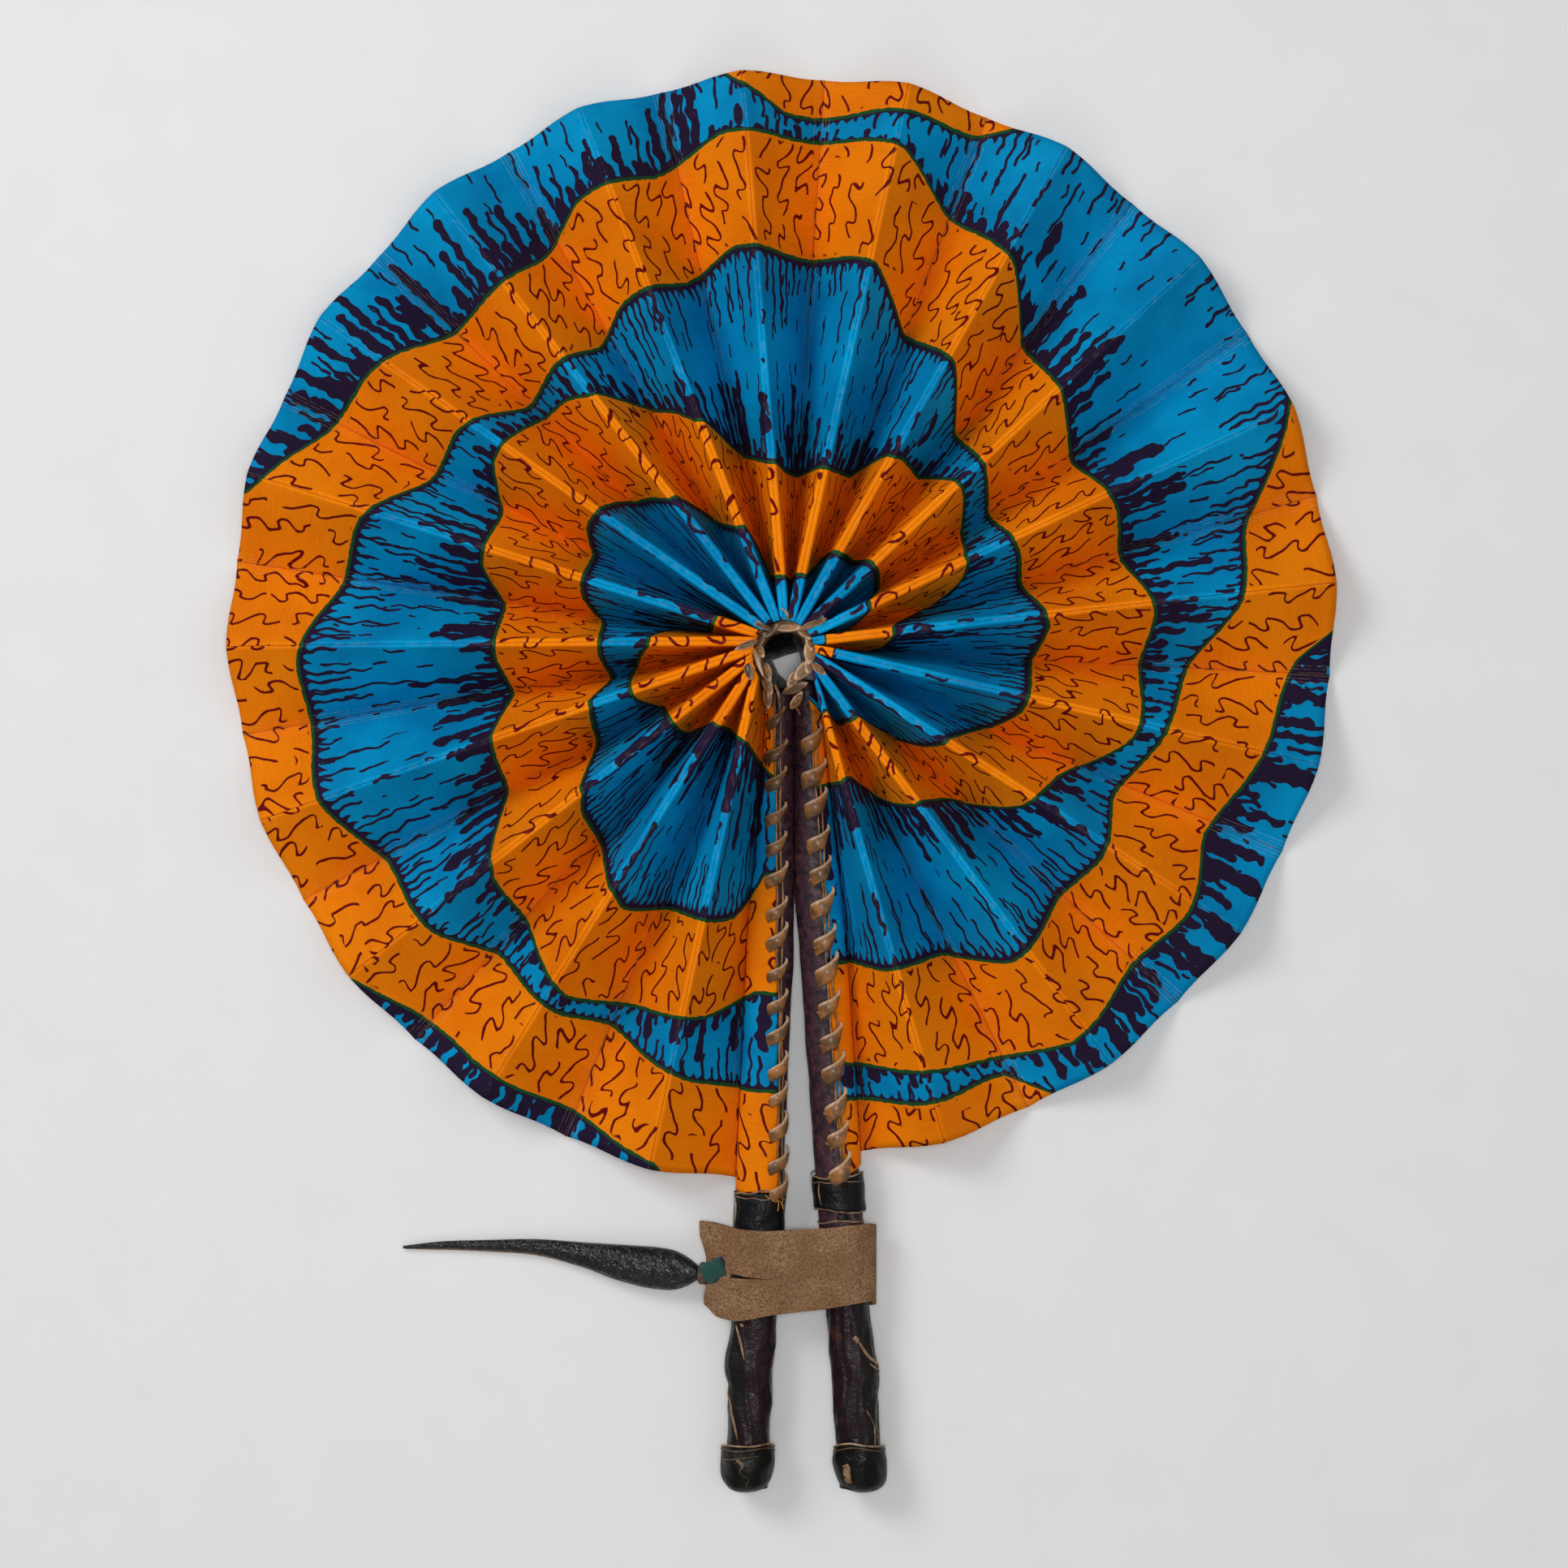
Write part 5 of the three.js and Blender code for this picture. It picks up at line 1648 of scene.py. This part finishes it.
neck = {
    "knit": [(-20.4, -207.7, 12.4), (-27, -211.2, 9.8)],
    "halfWidth": 3.75,
    "halfHeight": 2.3,
    "band": [(-26.3, -210.9, 9.4), (-28.4, -210.7, 8.2)],
    "bandHalf": 3.8,
}


def makeNeck():
    path = lerp(*np.array(neck["knit"]), np.linspace(0, 1, 30)[:, None])
    swell = neck["halfWidth"] + 0.15 * np.sin(path[:, 0] * 2.2)
    mesh = strandMesh("neck_knit", path, swell, neck["halfHeight"], sides=40)
    addPiece(mesh, knit, "strap", "neck_cloth", "neck_binding")
    path = lerp(*np.array(neck["band"]), np.linspace(0, 1, 8)[:, None])
    mesh = strandMesh("neck_band", path, neck["bandHalf"], neck["halfHeight"] + 0.3, sides=36)
    addPiece(mesh, leathers["dullEdge"], "strap", "thong")


tongue = {
    "start": -28.7,
    "length": 102.6,
    "y": -210.4,
    "floor": 0.3,
    "flatUnder": 0.35,
    "unevenness": 0.2,
    "edgeAt": (0.93, 0.42),  # the pale edge's place, as shares of the half width and half thickness
    # share of the length, offset towards +Y, half width, half thickness
    "profile": [
        (0, 0, 2.0, 1.8), (0.012, -0.1, 2.8, 2.3), (0.035, -0.1, 4.4, 3.1), (0.06, 0, 5.8, 3.8),
        (0.09, 0.2, 6.8, 4.2), (0.14, 0.8, 7.2, 4.6), (0.25, 2.4, 6.4, 4.2), (0.39, 5.3, 4.3, 3),
        (0.54, 7.8, 2.7, 2), (0.72, 8.4, 1.8, 1.4), (0.87, 8.4, 1.25, 1.1), (1, 7.6, 0.5, 0.7),
    ],
}


def tongueLine(share):
    profile = np.array(tongue["profile"])
    across, wide, thick = (smoothCurve(profile[:, [0, i]], share) for i in (1, 2, 3))
    z = lerp(strap["middle"], tongue["floor"] + thick, smoothstep(share, 0, 0.14))
    path = np.column_stack([tongue["start"] - tongue["length"] * share, tongue["y"] + across, z])
    return path, wide, thick


def makeTongue():
    share = np.linspace(0, 1, 150) ** 1.25
    path, wide, thick = tongueLine(share)
    rings = strandRings(path, wide, thick, sides=40)
    turn = np.linspace(0, 2 * math.pi, 40, endpoint=False)
    flatter = 1 - tongue["flatUnder"] * np.clip(-np.sin(turn), 0, 1) ** 2
    rings[..., 2] = lerp(path[:, 2][:, None], rings[..., 2], flatter[None, :])
    lumps = (uneven(rings, 16, 88) * tongue["unevenness"])[..., None] * (0, 0.3, 1)
    rings += lumps * np.minimum(wide / 4, 1)[:, None, None]
    rings[..., 2] = np.maximum(rings[..., 2], 0.05)
    mesh = skinMesh("tongue_leather", rings)
    addPiece(mesh, leathers["pebbledLeather"], "tongue", "black_leather", "tongue")
    share = np.linspace(0.12, 0.99, 120)
    path, wide, thick = tongueLine(share)
    path[:, 1] -= wide * tongue["edgeAt"][0]
    path[:, 2] -= thick * tongue["edgeAt"][1]
    edge = np.interp(share, [0.12, 0.3, 0.9, 1], [0.1, 0.75, 0.5, 0.15])
    mesh = strandMesh("tongue_edge", path, edge, np.minimum(0.6, edge), sides=10)
    addPiece(mesh, suede, "tongue", "suede")


makePanels()
for word in sticks:
    makeStick(word)
    makeFlap(word)
    makeLacing(word)
makeHandleTrims()
makeFrayed()
print("sticks: sleeves, flaps, lacing and trims")
makeRing()
makeLining()
# Each piece at the hub gets a mesh of its own
hubPieces = [piece for piece in bpy.data.objects if piece.name.startswith(("ring_", "lining"))]
for piece in hubPieces:
    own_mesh(piece)
print("hub: ring and lining")
makeStrap()
makeNeck()
makeTongue()
print("strap: band, neck and tongue")
for word in sticks:
    core = bpy.data.objects[f"{word}_stick_core"]
    core.data.materials.clear()
    core.data.materials.append(wood)


# Floor and light
def makeStudio():
    material, tree, shader = newMaterial("paleFloor", Roughness=0.9)
    speckle = noise(objectPlace(tree), 0.04, 3.0)
    pale = layered(colour(244, 244, 244), (speckle, colour(250, 250, 250)))
    feed(tree, pale, shader.inputs["Base Color"])
    half = studio["floorSize"] / 2
    mesh = bpy.data.meshes.new("floor")
    corners = [(x * half, y * half, -0.0002) for x, y in ((-1, -1), (1, -1), (1, 1), (-1, 1))]
    mesh.from_pydata(corners, [], [(0, 1, 2, 3)])
    newObject("floor", mesh, material)
    world = bpy.data.worlds.new("studio")
    world.use_nodes = True
    world.node_tree.nodes["Background"].inputs["Color"].default_value = (1, 1, 1, 1)
    world.node_tree.nodes["Background"].inputs["Strength"].default_value = studio["world"]
    bpy.context.scene.world = world
    bpy.context.scene.view_settings.view_transform = "Standard"
    for name, (place, size, power) in studio["lights"].items():
        light = bpy.data.lights.new(name, "AREA")
        light.size = size
        light.energy = power
        lamp = bpy.data.objects.new(name, light)
        lamp.location = place
        lamp.rotation_euler = (-Vector(place)).to_track_quat("-Z", "Y").to_euler()
        bpy.context.scene.collection.objects.link(lamp)
    print("studio: floor and lights")


makeStudio()
